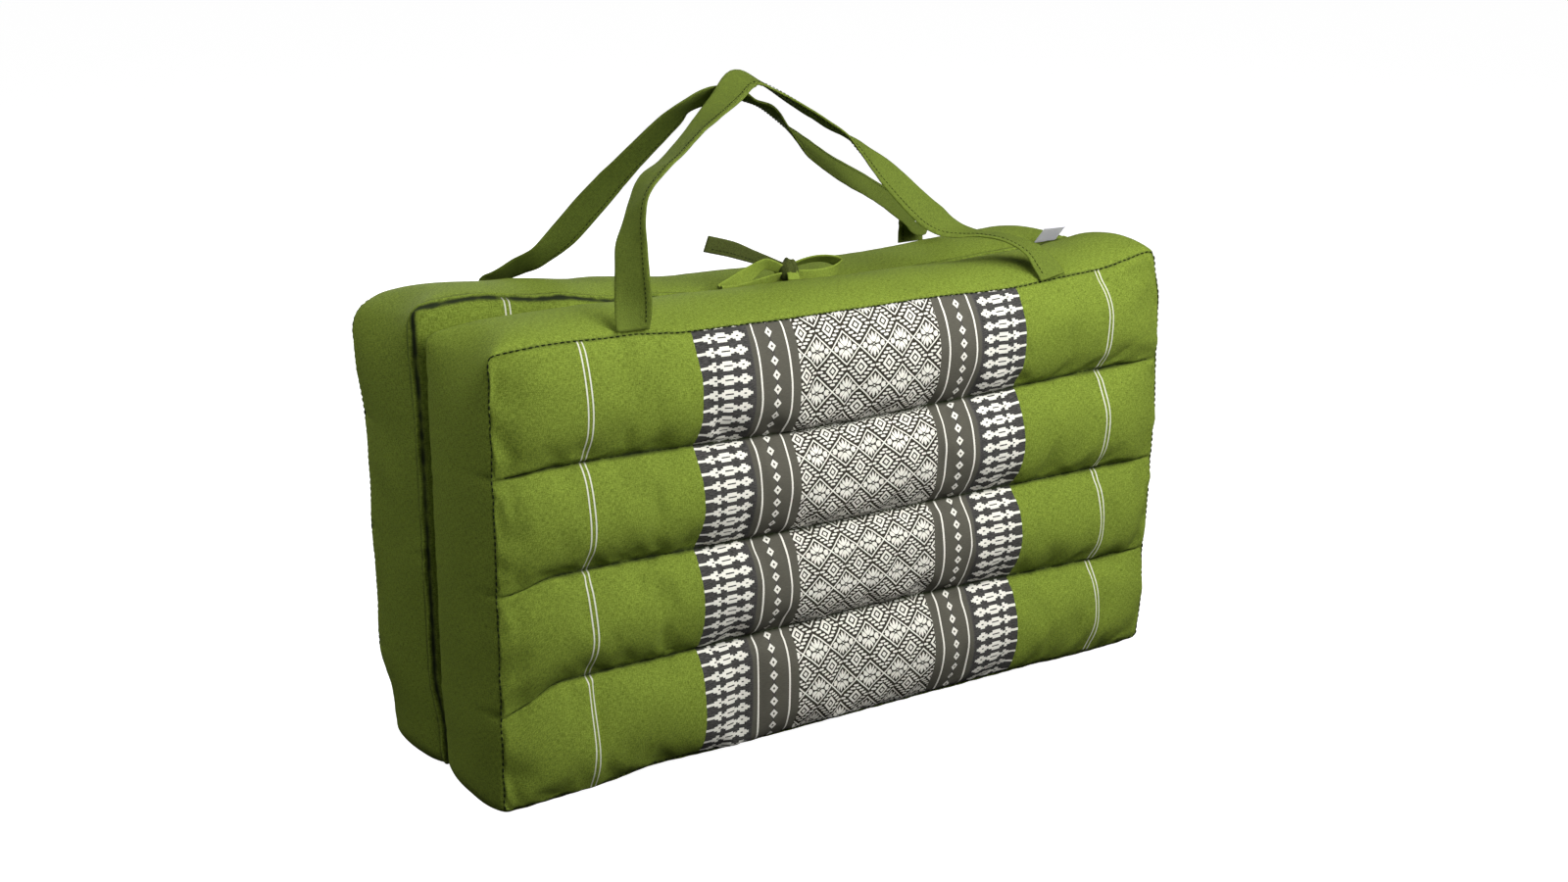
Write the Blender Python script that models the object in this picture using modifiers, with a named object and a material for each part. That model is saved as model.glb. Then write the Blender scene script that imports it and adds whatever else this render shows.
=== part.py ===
"""A foldable floor mat: two channel-sewn, filled blocks stand folded together on their long edge.

Two flat straps carry it and a tied bow draws the open edge together. Lengths are in metres, +Z is up, and +X
runs along the mat. The origin is under the middle of the folded mat, on the floor.
"""

import math

import bmesh
import bpy
from mathutils import Vector

MM = 0.001
GAP = 0.4 * MM

# Driving sizes of one block, from seam to seam
LENGTH = 0.587
DEPTH = 0.087
HEIGHT = 0.332
CHANNELS = 4

# Where the middle of the seams and the fold lie from the origin, which is under the middle of the whole mat
MIDDLE_X = -2.3 * MM
FOLD_Y = -12.6 * MM

# How full the block is
FACE_BULGE = 15.0 * MM
GROOVE_INSET = 1.5 * MM
GROOVE_FREE_END = 36.0 * MM
END_CROWN = 4.5 * MM
TOP_CROWN = 9.0 * MM
SEAM_CORNER = 9.0 * MM
LEFT_CROWN_CORNER = 24.0 * MM
RIGHT_CROWN_CORNER = 9.0 * MM
BACK_CORNER = 24.0 * MM
FOOT_CORNER = 13.0 * MM
FOOT_SWELL = 5.0 * MM
FOOT_HEIGHT = 0.110
HINGE_SEAM = 6.5 * MM
HINGE_ROUND = 7.0 * MM

# Straps and ties
STRAP_WIDTH = 26.0 * MM
STRAP_THICK = 2.0 * MM
TIE_WIDTH = 12.0 * MM
TIE_THICK = 1.6 * MM
HINGE_LENGTH = 0.540
HINGE_WIDTH = 4.5 * MM
HINGE_THICK = 1.2 * MM
HINGE_RISE = 4.4 * MM
HINGE_SPANS = 12
LABEL_X = 0.272
LABEL_WIDTH = 19.0 * MM
LABEL_THICK = 1.0 * MM

# Cuts of the plain block, as distances from each end, each groove and each seam
END_CUTS = (5, 12, 22, 36, 56, 88, 130, 182, 238)
GROOVE_CUTS = (5, 14, 27)
DEPTH_CUTS = (5, 14, 28, 43.5, 59, 73, 82)

# The tables give places from the middle of the seams, the fold and the floor, in millimetres.
# Height of the top seams along the block: (along, front outer, front inner, back inner, back outer)
TOP_SEAM = (
    (-293, 334, 331, 346, 332),
    (-250, 336, 334, 343, 336),
    (-190, 334, 334, 337, 335),
    (-130, 329, 332, 331, 328),
    (-40, 327, 330, 323, 320),
    (60, 326, 327, 320, 317),
    (150, 323, 325, 320, 317),
    (230, 326, 326, 322, 320),
    (292, 334, 331, 326, 322),
)
FRONT_OUTER, FRONT_INNER, BACK_INNER, BACK_OUTER = 1, 2, 3, 4
# Height of the outer bottom seam along the block: (along, height)
BOTTOM_SEAM = ((-293, 3), (-230, 4), (-165, 9), (-100, 7), (170, 6), (240, 4), (292, 5))
# Height of each groove along the block, lowest first: (left end, left, middle, right end)
GROOVES = ((74, 91, 91, 84), (163, 170, 165, 162), (247, 249, 241, 245))
GROOVE_STATIONS = (-293, -245, 0, 292)
# How far the back block's inner seam stands off the front block: (height, left, middle, right)
STAND_OFF = (
    (0, 0, 0, 0),
    (30, 2, 2, 2),
    (80, 11, 9, 10),
    (250, 13, 10, 12),
    (340, 19, 12, 16),
)

# How far the back block's outer face leans out at its left end: (height, outwards)
END_LEAN = ((0, -4), (60, -1), (120, 3), (190, 6), (250, 14), (340, 16))
LEAN_REACH = 88.0 * MM
# How far the right ends bow out between the floor and the top: (height, outwards)
RIGHT_BOW = (
    (5, 3),
    (40, 6.5),
    (84, 5.5),
    (123, 9),
    (162, 10),
    (203, 12),
    (245, 10.5),
    (290, 10.5),
    (334, 3),
)
# How far the back block's outer seam flares out at its left end: (height, outwards)
LEFT_FLARE = (
    (0, 2),
    (30, 3),
    (70, 8.5),
    (120, 6.5),
    (160, 7),
    (205, 5),
    (240, 3),
    (285, 7),
    (318, 7),
    (340, 5),
)

# The route of the front strap from its left end to its right end. Each row is a point on the middle of the
# strap, and the direction across it towards the edge that is on the right of the route.
FRONT_STRAP = (
    (-182.0, -87.0, 336.0, 1.00, 0.00, 0.00),
    (-181.0, -86.0, 355.0, 0.85, -0.50, 0.00),
    (-180.5, -84.5, 374.0, 0.64, -0.76, 0.10),
    (-178.5, -80.5, 393.0, 0.50, -0.86, 0.12),
    (-174.0, -76.5, 408.0, 0.18, -0.95, 0.25),
    (-165.5, -70.0, 424.0, 0.10, -0.93, 0.35),
    (-147.5, -59.5, 437.5, 0.36, -0.89, 0.28),
    (-127.5, -49.5, 444.5, 0.34, -0.87, 0.36),
    (-101.5, -35.5, 456.5, 0.34, -0.87, 0.34),
    (-73.5, -20.0, 468.5, 0.44, -0.89, 0.10),
    (-54.5, -9.5, 477.0, 0.49, -0.86, -0.08),
    (-35.5, 0.5, 486.5, 0.20, -0.90, -0.38),
    (-19.0, 0.5, 482.0, -0.16, -0.98, -0.10),
    (12.5, -2.5, 462.5, -0.08, -1.00, 0.03),
    (46.0, -5.5, 441.0, -0.12, -0.99, 0.01),
    (60.5, -8.0, 430.5, -0.37, -0.90, -0.24),
    (75.0, -10.5, 417.0, -0.54, -0.72, -0.43),
    (87.0, -14.5, 405.0, -0.70, -0.48, -0.52),
    (109.5, -23.5, 380.5, -0.74, -0.31, -0.60),
    (123.5, -29.0, 368.5, -0.70, -0.37, -0.60),
    (138.5, -35.0, 361.0, -0.66, -0.71, -0.25),
    (153.5, -43.0, 357.0, -0.50, -0.87, 0.03),
    (170.5, -54.5, 353.5, -0.72, -0.68, 0.03),
    (183.5, -69.5, 346.0, -0.90, -0.42, -0.05),
    (189.0, -80.5, 335.0, -0.98, -0.15, -0.05),
    (191.0, -88.3, 326.2, -1.00, 0.00, 0.00),
)
# The route of the back strap from its left end to its right end, as above
BACK_STRAP = (
    (-189.5, 105.6, 336.0, -1.00, 0.00, 0.00),
    (-189.0, 105.0, 341.0, -0.97, -0.10, 0.20),
    (-179.0, 98.0, 347.0, -0.80, -0.40, 0.45),
    (-163.5, 86.0, 354.5, -0.62, -0.38, 0.66),
    (-149.5, 77.0, 366.0, -0.78, -0.08, 0.62),
    (-127.0, 62.5, 397.0, -0.81, -0.10, 0.58),
    (-105.0, 47.0, 426.0, -0.84, -0.27, 0.46),
    (-82.5, 30.0, 454.0, -0.82, -0.38, 0.43),
    (-72.0, 22.5, 466.0, -0.62, -0.65, 0.44),
    (-54.5, 17.0, 473.5, -0.33, -0.70, 0.62),
    (-35.5, 13.5, 473.0, -0.10, -0.88, 0.40),
    (-25.0, 13.0, 469.0, 0.10, -0.99, 0.06),
    (-7.5, 15.5, 462.5, 0.12, -0.99, 0.00),
    (7.0, 18.5, 451.0, 0.00, -0.97, -0.23),
    (21.5, 22.0, 438.5, -0.05, -0.90, -0.42),
    (37.5, 27.5, 426.5, -0.16, -0.78, -0.60),
    (76.0, 40.5, 403.0, -0.08, -0.70, -0.71),
    (121.0, 58.5, 380.5, -0.11, -0.69, -0.72),
    (166.0, 77.0, 355.0, -0.26, -0.62, -0.74),
    (184.5, 85.5, 343.0, -0.25, -0.50, -0.83),
    (193.0, 92.5, 337.5, 0.50, -0.40, -0.77),
    (196.5, 99.0, 336.0, 0.96, -0.15, -0.20),
    (197.0, 103.2, 329.0, 1.00, 0.00, 0.00),
    (197.0, 103.6, 319.6, 1.00, 0.00, 0.00),
)
# The bow, as routes of the flat tie, as above with the width of the tie in the last column
BOW_FREE_END = (
    (8.5, 11.5, 338.0, 0.20, -0.10, 0.95, 6.0),
    (-7.5, 12.5, 345.0, 0.25, -0.10, 0.95, 8.5),
    (-23.5, 12.5, 352.0, 0.28, -0.10, 0.94, 11.0),
    (-41.5, 12.5, 359.5, 0.24, -0.10, 0.95, 13.0),
    (-62.0, 12.5, 366.0, 0.10, -0.10, 0.98, 13.0),
)
BOW_LEFT_LOOP = (
    (6.5, 8.5, 336.0, 0.00, -0.70, 0.70, 8.0),
    (-4.5, 8.5, 342.0, 0.15, -0.75, 0.62, 10.0),
    (-12.5, 9.5, 344.0, 0.10, -0.70, 0.70, 11.5),
    (-26.5, 9.5, 339.0, -0.30, -0.60, 0.72, 12.0),
    (-41.5, 8.5, 332.5, -0.30, -0.55, 0.75, 12.0),
    (-51.5, 8.0, 328.5, 0.20, -0.60, 0.75, 12.0),
    (-41.5, 7.0, 326.5, 0.40, -0.60, 0.70, 12.0),
    (-23.5, 7.0, 328.5, 0.35, -0.60, 0.72, 11.0),
    (-6.5, 8.0, 331.5, 0.20, -0.65, 0.72, 10.0),
    (6.5, 8.5, 333.0, 0.00, -0.70, 0.70, 8.0),
)
BOW_RIGHT_LOOP = (
    (14.5, 13.5, 335.0, 0.00, -0.70, 0.70, 8.0),
    (24.5, 17.0, 337.5, 0.00, -0.75, 0.65, 10.5),
    (40.5, 18.5, 338.0, 0.00, -0.80, 0.60, 12.0),
    (54.5, 17.5, 336.5, 0.00, -0.80, 0.60, 12.0),
    (61.0, 13.5, 333.5, 0.00, -0.75, 0.65, 12.0),
    (53.5, 10.0, 330.5, 0.00, -0.70, 0.70, 12.0),
    (38.5, 9.5, 329.0, 0.00, -0.70, 0.70, 12.0),
    (24.5, 11.0, 330.5, 0.00, -0.70, 0.70, 10.0),
    (14.5, 12.5, 332.5, 0.00, -0.70, 0.70, 8.0),
)
# The ties below the knot, from the inner top seam up: (along, off the seam, above the seam, width)
FRONT_ROOT = ((8.5, -2.0, 2.3, 11.0), (9.0, 1.0, 6.5, 10.0), (9.5, 4.1, 8.5, 9.0))
BACK_ROOT = ((11.5, 1.8, 2.3, 11.0), (11.0, 5.5, 4.6, 10.0), (9.5, 7.8, 9.5, 9.0), (8.0, 8.0, 14.5, 8.0))
KNOT_CENTRE = (10.5, 12.0, 334.5)
KNOT_SIZE = (17.0, 13.0, 14.0)
# The label from its seam up, leaning towards the front: (along, off the seam, above the seam, turn)
LABEL_ROWS = ((0.0, -1.2, 2.0, 0.05), (1.0, -3.0, 7.5, 0.10), (4.0, -6.0, 15.0, 0.20))

# Colours, as linear red, green and blue
GREEN_CLOTH = (0.19, 0.29, 0.035)
DARK_GREEN_CLOTH = (0.14, 0.22, 0.03)
WHITE_SATIN = (0.78, 0.77, 0.82)


def eased(rows, value, column):
    """The value of a column of a table between its rows, with level tangents at each row."""
    if value <= rows[0][0]:
        return rows[0][column]
    for low, high in zip(rows, rows[1:]):
        if value <= high[0]:
            t = (value - low[0]) / (high[0] - low[0])
            t = t * t * (3 - 2 * t)
            return low[column] + (high[column] - low[column]) * t
    return rows[-1][column]


def arch(t, power):
    """An arch over t from 0 to 1, with a height of 1."""
    return max(0.0, 4 * t * (1 - t)) ** power


def cleared_scene():
    for obj in list(bpy.data.objects):
        bpy.data.objects.remove(obj, do_unlink=True)


def collection(name, hidden=False):
    made = bpy.data.collections.new(name)
    bpy.context.scene.collection.children.link(made)
    made.hide_render = hidden
    return made


def cloth_material(name, colour, roughness=0.9):
    material = bpy.data.materials.new(name)
    material.use_nodes = True
    shader = material.node_tree.nodes["Principled BSDF"]
    shader.inputs["Base Color"].default_value = (*colour, 1.0)
    shader.inputs["Roughness"].default_value = roughness
    shader.inputs["Metallic"].default_value = 0.0
    material.diffuse_color = (*colour, 1.0)
    return material


def object_from(mesh_maker, name, material, home):
    mesh = bpy.data.meshes.new(name)
    mesh_maker.to_mesh(mesh)
    mesh_maker.free()
    mesh.materials.append(material)
    mesh.shade_smooth()
    made = bpy.data.objects.new(name, mesh)
    home.objects.link(made)
    return made


# Blocks


def groove_height(groove, x):
    """Height of one groove at a place along the block, in metres."""
    rows = tuple(zip(GROOVE_STATIONS, GROOVES[groove]))
    return eased(rows, x / MM, 1) * MM


def top_seam(x, t, back):
    """Height of the block's top rim, with t from 0 at the outer seam to 1 at the inner one."""
    outer = eased(TOP_SEAM, x / MM, BACK_OUTER if back else FRONT_OUTER)
    inner = eased(TOP_SEAM, x / MM, BACK_INNER if back else FRONT_INNER)
    return (outer + (inner - outer) * t) * MM


def sewn_height(x, w, t, back):
    """Carries a height on the plain block to its place between the sewn lines."""
    pitch = HEIGHT / CHANNELS
    top = top_seam(x, t, back)
    bottom = eased(BOTTOM_SEAM, x / MM, 1) * MM * (1 - t) + HINGE_SEAM * t
    lines = [bottom] + [groove_height(g, x) for g in range(CHANNELS - 1)] + [top]
    channel = min(CHANNELS - 1, max(0, int(w / pitch)))
    share = w / pitch - channel
    return lines[channel] + (lines[channel + 1] - lines[channel]) * share


def stand_off(x, z):
    """How far the inner seam of the back block stands off the fold, in metres."""
    left, middle, right = (eased(STAND_OFF, z / MM, column) for column in (1, 2, 3))
    rows = ((-LENGTH / 2, left), (0, middle), (LENGTH / 2, right))
    return eased(rows, x, 1) * MM


def end_lean(x, z):
    """How far the back block's outer face leans out towards its left end, in metres."""
    rows = ((-LENGTH / 2, eased(END_LEAN, z / MM, 1)), (LEAN_REACH - LENGTH / 2, 0.0))
    return eased(rows, x, 1) * MM


def corner_radius(u, t, w, back):
    """Radius of the outline's corner that is nearest, which is widest between the seams."""
    on_top = w > HEIGHT / 2
    at_seam = SEAM_CORNER
    if back and on_top:
        at_seam += (BACK_CORNER - SEAM_CORNER) * (1 - t)
    crown = RIGHT_CROWN_CORNER if u > 0 else LEFT_CROWN_CORNER
    widest = crown if on_top else FOOT_CORNER
    return at_seam + max(0.0, widest - at_seam) * arch(t, 1.0)


def rounded(u, w, radius):
    """Rounds the corners of the block's outline, and says which way is outwards there."""
    centre_u = max(-LENGTH / 2 + radius, min(LENGTH / 2 - radius, u))
    centre_w = max(radius, min(HEIGHT - radius, w))
    du, dw = u - centre_u, w - centre_w
    reach = math.hypot(du, dw)
    if reach < 1e-9:
        return u, w, 0.0, 0.0
    scale = max(abs(du), abs(dw)) / reach
    return centre_u + du * scale, centre_w + dw * scale, du / reach, dw / reach


def channel_bulge(u, w):
    """The share of the full bulge that a face has at a place on the plain block."""
    share = (w / (HEIGHT / CHANNELS)) % 1.0
    channel = arch(share, 0.6)
    to_end = LENGTH / 2 - abs(u)
    free = max(0.0, min(1.0, (GROOVE_FREE_END - to_end) / (0.7 * GROOVE_FREE_END)))
    merged = 1 - 0.45 * (1 - channel)
    whole = arch(w / HEIGHT, 0.25)
    channel = channel * (1 - free) + merged * whole * free
    reach = min(1.0, to_end / (48 * MM))
    return channel * (1 - (1 - reach) ** 2.4) ** 0.8


def block_point(u, v, w, back):
    """The place of a point of the plain block, with v as its distance from the outer face."""
    t = v / DEPTH
    on_rim = abs(u) > LENGTH / 2 - 1e-6 or w < 1e-6 or w > HEIGHT - 1e-6
    flat_u, flat_w, out_u, out_w = rounded(u, w, corner_radius(u, t, w, back))
    z = sewn_height(flat_u, flat_w, t, back)
    x = flat_u
    to_end = (2 * u / LENGTH) ** 3
    if u > 0:
        x += eased(RIGHT_BOW, z / MM, 1) * MM * to_end
    elif back:
        x += eased(LEFT_FLARE, z / MM, 1) * MM * (1 - t) * to_end
    y = GAP + (DEPTH - v)
    if back:
        y += stand_off(x, z) + end_lean(x, z) * (1 - t)
    if on_rim:
        swell = END_CROWN + (TOP_CROWN - END_CROWN) * out_w * out_w
        swell += FOOT_SWELL * abs(out_u) * max(0.0, 1 - w / FOOT_HEIGHT)
        swell *= arch(t, 0.7)
        x += out_u * swell
        z += out_w * swell
        if out_w < 0:
            z += (HINGE_SEAM - z) * max(0.0, 1 - (DEPTH - v) / HINGE_ROUND) ** 0.7
    elif v < 1e-6:
        full = channel_bulge(u, w)
        y += (FACE_BULGE + GROOVE_INSET) * full - GROOVE_INSET
    else:
        room = max(0.0, stand_off(x, z) / 2 - GAP)
        y -= room * channel_bulge(u, w) ** 0.6
    side = 1 if back else -1
    return Vector((MIDDLE_X + x, FOLD_Y + side * y, max(0.0, z)))


def cuts_along():
    cuts = [LENGTH / 2 - d * MM for d in END_CUTS]
    return sorted(cuts + [-c for c in cuts])


def cuts_up():
    pitch = HEIGHT / CHANNELS
    cuts = []
    for channel in range(CHANNELS):
        low = channel * pitch
        cuts += [low + d * MM for d in GROOVE_CUTS]
        cuts += [low + pitch / 2]
        cuts += [low + pitch - d * MM for d in GROOVE_CUTS]
        cuts += [low] if channel else []
    return sorted(cuts)


def block(name, back, material, home):
    """One filled block: a box cut along its lines and then carried to the sewn shape."""
    shape = bmesh.new()
    bmesh.ops.create_cube(shape, size=1.0)
    for vertex in shape.verts:
        u, v, w = vertex.co
        vertex.co = (u * LENGTH, (v + 0.5) * DEPTH, (w + 0.5) * HEIGHT)
    for normal, cuts in (
        ((1, 0, 0), cuts_along()),
        ((0, 1, 0), [d * MM for d in DEPTH_CUTS]),
        ((0, 0, 1), cuts_up()),
    ):
        for cut in cuts:
            bmesh.ops.bisect_plane(
                shape,
                geom=shape.verts[:] + shape.edges[:] + shape.faces[:],
                dist=1e-6,
                plane_co=Vector(normal) * cut,
                plane_no=normal,
            )
    for vertex in shape.verts:
        vertex.co = block_point(*vertex.co, back)
    if back:
        bmesh.ops.reverse_faces(shape, faces=shape.faces[:])
    return object_from(shape, name, material, home)


# Straps and ties


def between(rows, place):
    """A smooth curve through the rows of a table, read at a place counted in rows."""
    last = len(rows) - 1
    i = min(last - 1, int(place))
    t = place - i
    a, b, c, d = (rows[max(0, min(last, k))] for k in (i - 1, i, i + 1, i + 2))
    curve = []
    for p, q, r, s in zip(a, b, c, d):
        square = (2 * p - 5 * q + 4 * r - s) * t * t
        cube = (3 * q - p - 3 * r + s) * t**3
        curve.append((2 * q + (r - p) * t + square + cube) / 2)
    return curve


def ribbon(name, rows, width, thickness, material, home, steps=2, across=2):
    """A flat band that follows a table of rows, as an open surface with a thickness."""
    spans = (len(rows) - 1) * steps
    shape = bmesh.new()
    bmesh.ops.create_grid(shape, x_segments=spans, y_segments=across, size=0.5)
    for vertex in shape.verts:
        place = (vertex.co.x + 0.5) * spans / steps
        row = between(rows, place)
        ahead = between(rows, min(len(rows) - 1.0, place + 0.05))
        behind = between(rows, max(0.0, place - 0.05))
        along = (Vector(ahead[:3]) - Vector(behind[:3])).normalized()
        sideways = Vector(row[3:6])
        sideways = (sideways - along * sideways.dot(along)).normalized()
        wide = row[6] * MM if len(row) > 6 else width
        middle = Vector(row[:3]) * MM + Vector((MIDDLE_X, FOLD_Y, 0.0))
        vertex.co = middle + sideways * (vertex.co.y * wide)
    made = object_from(shape, name, material, home)
    solid = made.modifiers.new("Thickness", "SOLIDIFY")
    solid.thickness = thickness
    solid.offset = 0.0
    return made


def knot(name, material, home):
    """The lump of the knot, a coarse ball flattened to its size."""
    shape = bmesh.new()
    bmesh.ops.create_icosphere(shape, subdivisions=2, radius=0.5)
    centre = Vector(KNOT_CENTRE) * MM + Vector((MIDDLE_X, FOLD_Y, 0.0))
    for vertex in shape.verts:
        pinch = 1 - 0.18 * math.cos(6 * math.atan2(vertex.co.z, vertex.co.x)) * abs(vertex.co.x)
        vertex.co = [centre[k] + vertex.co[k] * KNOT_SIZE[k] * MM * pinch for k in range(3)]
    return object_from(shape, name, material, home)


def bow(name, material, home, helpers):
    """The knot with both loops and the free end, joined into one piece."""
    made = knot(name, material, home)
    for part_name, rows in (
        ("free_end_shape", BOW_FREE_END),
        ("left_loop_shape", BOW_LEFT_LOOP),
        ("right_loop_shape", BOW_RIGHT_LOOP),
    ):
        helper = ribbon(part_name, rows, TIE_WIDTH, TIE_THICK, material, helpers)
        helper.hide_render = True
        helper.display_type = "WIRE"
        join = made.modifiers.new("Join " + part_name, "BOOLEAN")
        join.operation = "UNION"
        join.solver = "EXACT"
        join.object = helper
    return made


def tie_root(name, rows, back, material, home):
    """The stretch of a tie from a block's inner top seam up to the knot."""
    top = top_seam(KNOT_CENTRE[0] * MM, 1.0, back) / MM
    seam_y = stand_off(KNOT_CENTRE[0] * MM, top * MM) / MM if back else 0.0
    placed = [(x, seam_y + y, top + z, 1, 0, 0, wide) for x, y, z, wide in rows]
    return ribbon(name, placed, TIE_WIDTH, TIE_THICK, material, home, steps=3)


def hinge(name, material, home):
    """The cloth strip that joins the blocks under their inner bottom seams."""
    step = HINGE_LENGTH / HINGE_SPANS / MM
    rows = []
    for k in range(HINGE_SPANS + 1):
        rows.append(((k - HINGE_SPANS / 2) * step, 0.0, HINGE_RISE / MM, 0, 1, 0))
    return ribbon(name, rows, HINGE_WIDTH, HINGE_THICK, material, home, steps=1)


def label(name, material, home):
    """The blank label that stands up from the back block's inner top seam."""
    top = top_seam(LABEL_X, 1.0, True) / MM
    seam_y = stand_off(LABEL_X, top * MM) / MM
    rows = []
    for x, y, z, turn in LABEL_ROWS:
        rows.append((LABEL_X / MM + x, seam_y + y, top + z, 1, turn, 0))
    return ribbon(name, rows, LABEL_WIDTH, LABEL_THICK, material, home)


def main():
    cleared_scene()
    home = collection("foldable_mat")
    helpers = collection("shapes_to_join", hidden=True)
    cloth = cloth_material("green cloth", GREEN_CLOTH)
    strap_cloth = cloth_material("green strap cloth", DARK_GREEN_CLOTH)
    satin = cloth_material("white satin", WHITE_SATIN, roughness=0.5)
    block("block_front", False, cloth, home)
    block("block_back", True, cloth.copy(), home)
    hinge("fold_hinge", cloth.copy(), home)
    ribbon("strap_front", FRONT_STRAP, STRAP_WIDTH, STRAP_THICK, strap_cloth, home)
    ribbon("strap_back", BACK_STRAP, STRAP_WIDTH, STRAP_THICK, strap_cloth.copy(), home)
    tie_root("tie_front", FRONT_ROOT, False, strap_cloth.copy(), home)
    tie_root("tie_back", BACK_ROOT, True, strap_cloth.copy(), home)
    bow("tie_bow", strap_cloth.copy(), home, helpers)
    label("blank_label", satin, home)


main()
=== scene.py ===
"""Looks of the foldable floor mat: two filled blocks, two carrying straps, a tied bow and a blank label.

Lengths are in metres in the model's frame: +Z is up, +X runs along the mat and the front block faces -Y.
"""

import math
from bisect import bisect_left

import bmesh
import bpy
from mathutils import Matrix, Vector, noise

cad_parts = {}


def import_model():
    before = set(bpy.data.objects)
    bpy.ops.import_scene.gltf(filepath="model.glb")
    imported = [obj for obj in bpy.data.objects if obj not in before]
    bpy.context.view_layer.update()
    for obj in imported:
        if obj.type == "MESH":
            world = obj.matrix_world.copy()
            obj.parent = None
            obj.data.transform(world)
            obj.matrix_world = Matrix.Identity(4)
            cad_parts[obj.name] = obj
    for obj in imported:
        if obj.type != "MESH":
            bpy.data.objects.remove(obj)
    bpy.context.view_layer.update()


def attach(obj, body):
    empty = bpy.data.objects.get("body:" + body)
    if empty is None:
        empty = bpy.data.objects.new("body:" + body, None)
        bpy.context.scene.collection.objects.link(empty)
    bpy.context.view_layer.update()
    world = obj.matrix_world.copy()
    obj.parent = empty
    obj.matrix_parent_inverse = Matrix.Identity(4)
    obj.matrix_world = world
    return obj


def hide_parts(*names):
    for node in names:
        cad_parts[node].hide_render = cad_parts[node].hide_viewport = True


MM = 0.001
CLOSE = 1e-6
GAP = 0.4 * MM

# Driving sizes of one block, from seam to seam, as in the solids
LENGTH = 0.587
DEPTH = 0.087
HEIGHT = 0.332
CHANNELS = 4
PITCH = HEIGHT / CHANNELS
MIDDLE_X = -2.3 * MM
FOLD_Y = -12.6 * MM

# How full the block is, and how its outline and faces curve
FACE_BULGE = 14.0 * MM
SAG = 0.84
CHANNEL_ARCH, FACE_ARCH, BORDER_ARCH = 0.52, 0.25, 0.7
INNER_ARCH, FOOT_ARCH = 0.6, 0.7
MERGED_DIP, GROOVE_FADE = 0.45, 0.7
END_REACH, END_POWER, END_ARCH = 48.0 * MM, 2.4, 0.8
GROOVE_INSET = 1.5 * MM
GROOVE_FREE_END = 14.0 * MM
END_CROWN = 4.5 * MM
TOP_CROWN = 9.0 * MM
BACK_TOP_CROWN = 6.0 * MM
SEAM_CORNER = 5.5 * MM
LEFT_CROWN_CORNER = 38.0 * MM
RIGHT_CROWN_CORNER = 6.5 * MM
BACK_CORNER = 24.0 * MM
FOOT_CORNER = 13.0 * MM
FOOT_SWELL = 5.0 * MM
FOOT_HEIGHT = 0.110
HINGE_SEAM = 6.5 * MM
HINGE_ROUND = 7.0 * MM

# Cuts of the skin: distances from each end, groove and seam in millimetres, and the steps between them
END_CUTS = (0.0, 1.3, 3.0, 5.5, 9.0, 13.5, 19.0)
GROOVE_CUTS = (0.0, 1.3, 3.2, 6.0, 10.0, 15.5, 22.5)
DEPTH_CUTS = (0.0, 1.2, 2.8, 5.0, 8.5, 13.5)
END_STEP, GROOVE_STEP, DEPTH_STEP = 5.4 * MM, 9.5 * MM, 6.0 * MM
FACES, BORDERS = 0, 1
BORDER_MAP = 2.0
SEAM_CREASE, GROOVE_CREASE = 0.9, 0.85

# How the cloth is filled
UNFILLED = 0.8
MOST_FILLING = 9.0 * MM
FILLING_FRAMES = 20
FILLING = {
    "quality": 5,
    "mass": 0.3,
    "tension_stiffness": 18,
    "compression_stiffness": 18,
    "shear_stiffness": 6,
    "bending_stiffness": 0.25,
    "use_pressure": True,
    "uniform_pressure_force": 4,
    "vertex_group_shrink": "taut",
    "shrink_min": -0.03,
    "shrink_max": 0.0,
    "vertex_group_mass": "held",
}
EVENING_ROUNDS, EVENING_SHARE = 12, 0.6

# Gathers at the sewn lines: (height, reach away from the line, pitch along it), in millimetres
FACE_GATHERS = (0.6, 9.0, 8.0)
GROOVE_GATHERS = (0.8, 8.0, 9.0)
BORDER_OUTER_GATHERS = (0.6, 10.0, 9.0)
BORDER_INNER_GATHERS = (0.8, 11.0, 8.0)

# Sizes of the other small relief, and how much painted shade darkens the cloth at each sewn line
FACE_LUMP, FACE_LUMP_SIZE, FACE_LUMP_START = 0.9 * MM, 45.0 * MM, 15.0 * MM
BORDER_LUMP, BORDER_LUMP_SIZE, BORDER_LUMP_ARCH = 1.2 * MM, 48.0 * MM, 0.8
SEAM_DIP, SEAM_DIP_WIDTH = 0.8 * MM, 1.3 * MM
WELT_RISE, WELT_PLACE, WELT_WIDTH = 1.3 * MM, 2.4 * MM, 1.2 * MM
WELT_CHANGE, WELT_LENGTH, WELT_LEAST, WELT_MOST = 1.2, 30.0 * MM, 0.2, 1.2
CREASE_DEPTH, CREASE_LENGTH, CREASE_WIDTH = 1.1 * MM, 16.0 * MM, 3.5 * MM
OUTER_SHADE, OUTER_SHADE_WIDTH = 0.55, 1.0 * MM
GROOVE_SHADE, GROOVE_SHADE_WIDTH = 0.85, 0.9 * MM
WELT_SHADE, WELT_SHADE_PLACE, WELT_SHADE_WIDTH = 0.55, 5.2 * MM, 0.9 * MM
UNEVEN_SHADE, UNEVEN_SHADE_SIZE = 0.6, 11.0 * MM
GROOVE_SHADE_END, GROOVE_SHADE_FADE = 3.0 * MM, 9.0 * MM

# The painted shade at an inner seam: (how dark, its width on the inner face, its width on the border), in
# millimetres
FRONT_INNER_SHADE = (1.0, 1.0, 1.7)
BACK_INNER_SHADE = (1.1, 1.8, 1.3)
BACK_SEED, FRONT_SEED = 31.0, 17.0

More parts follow.
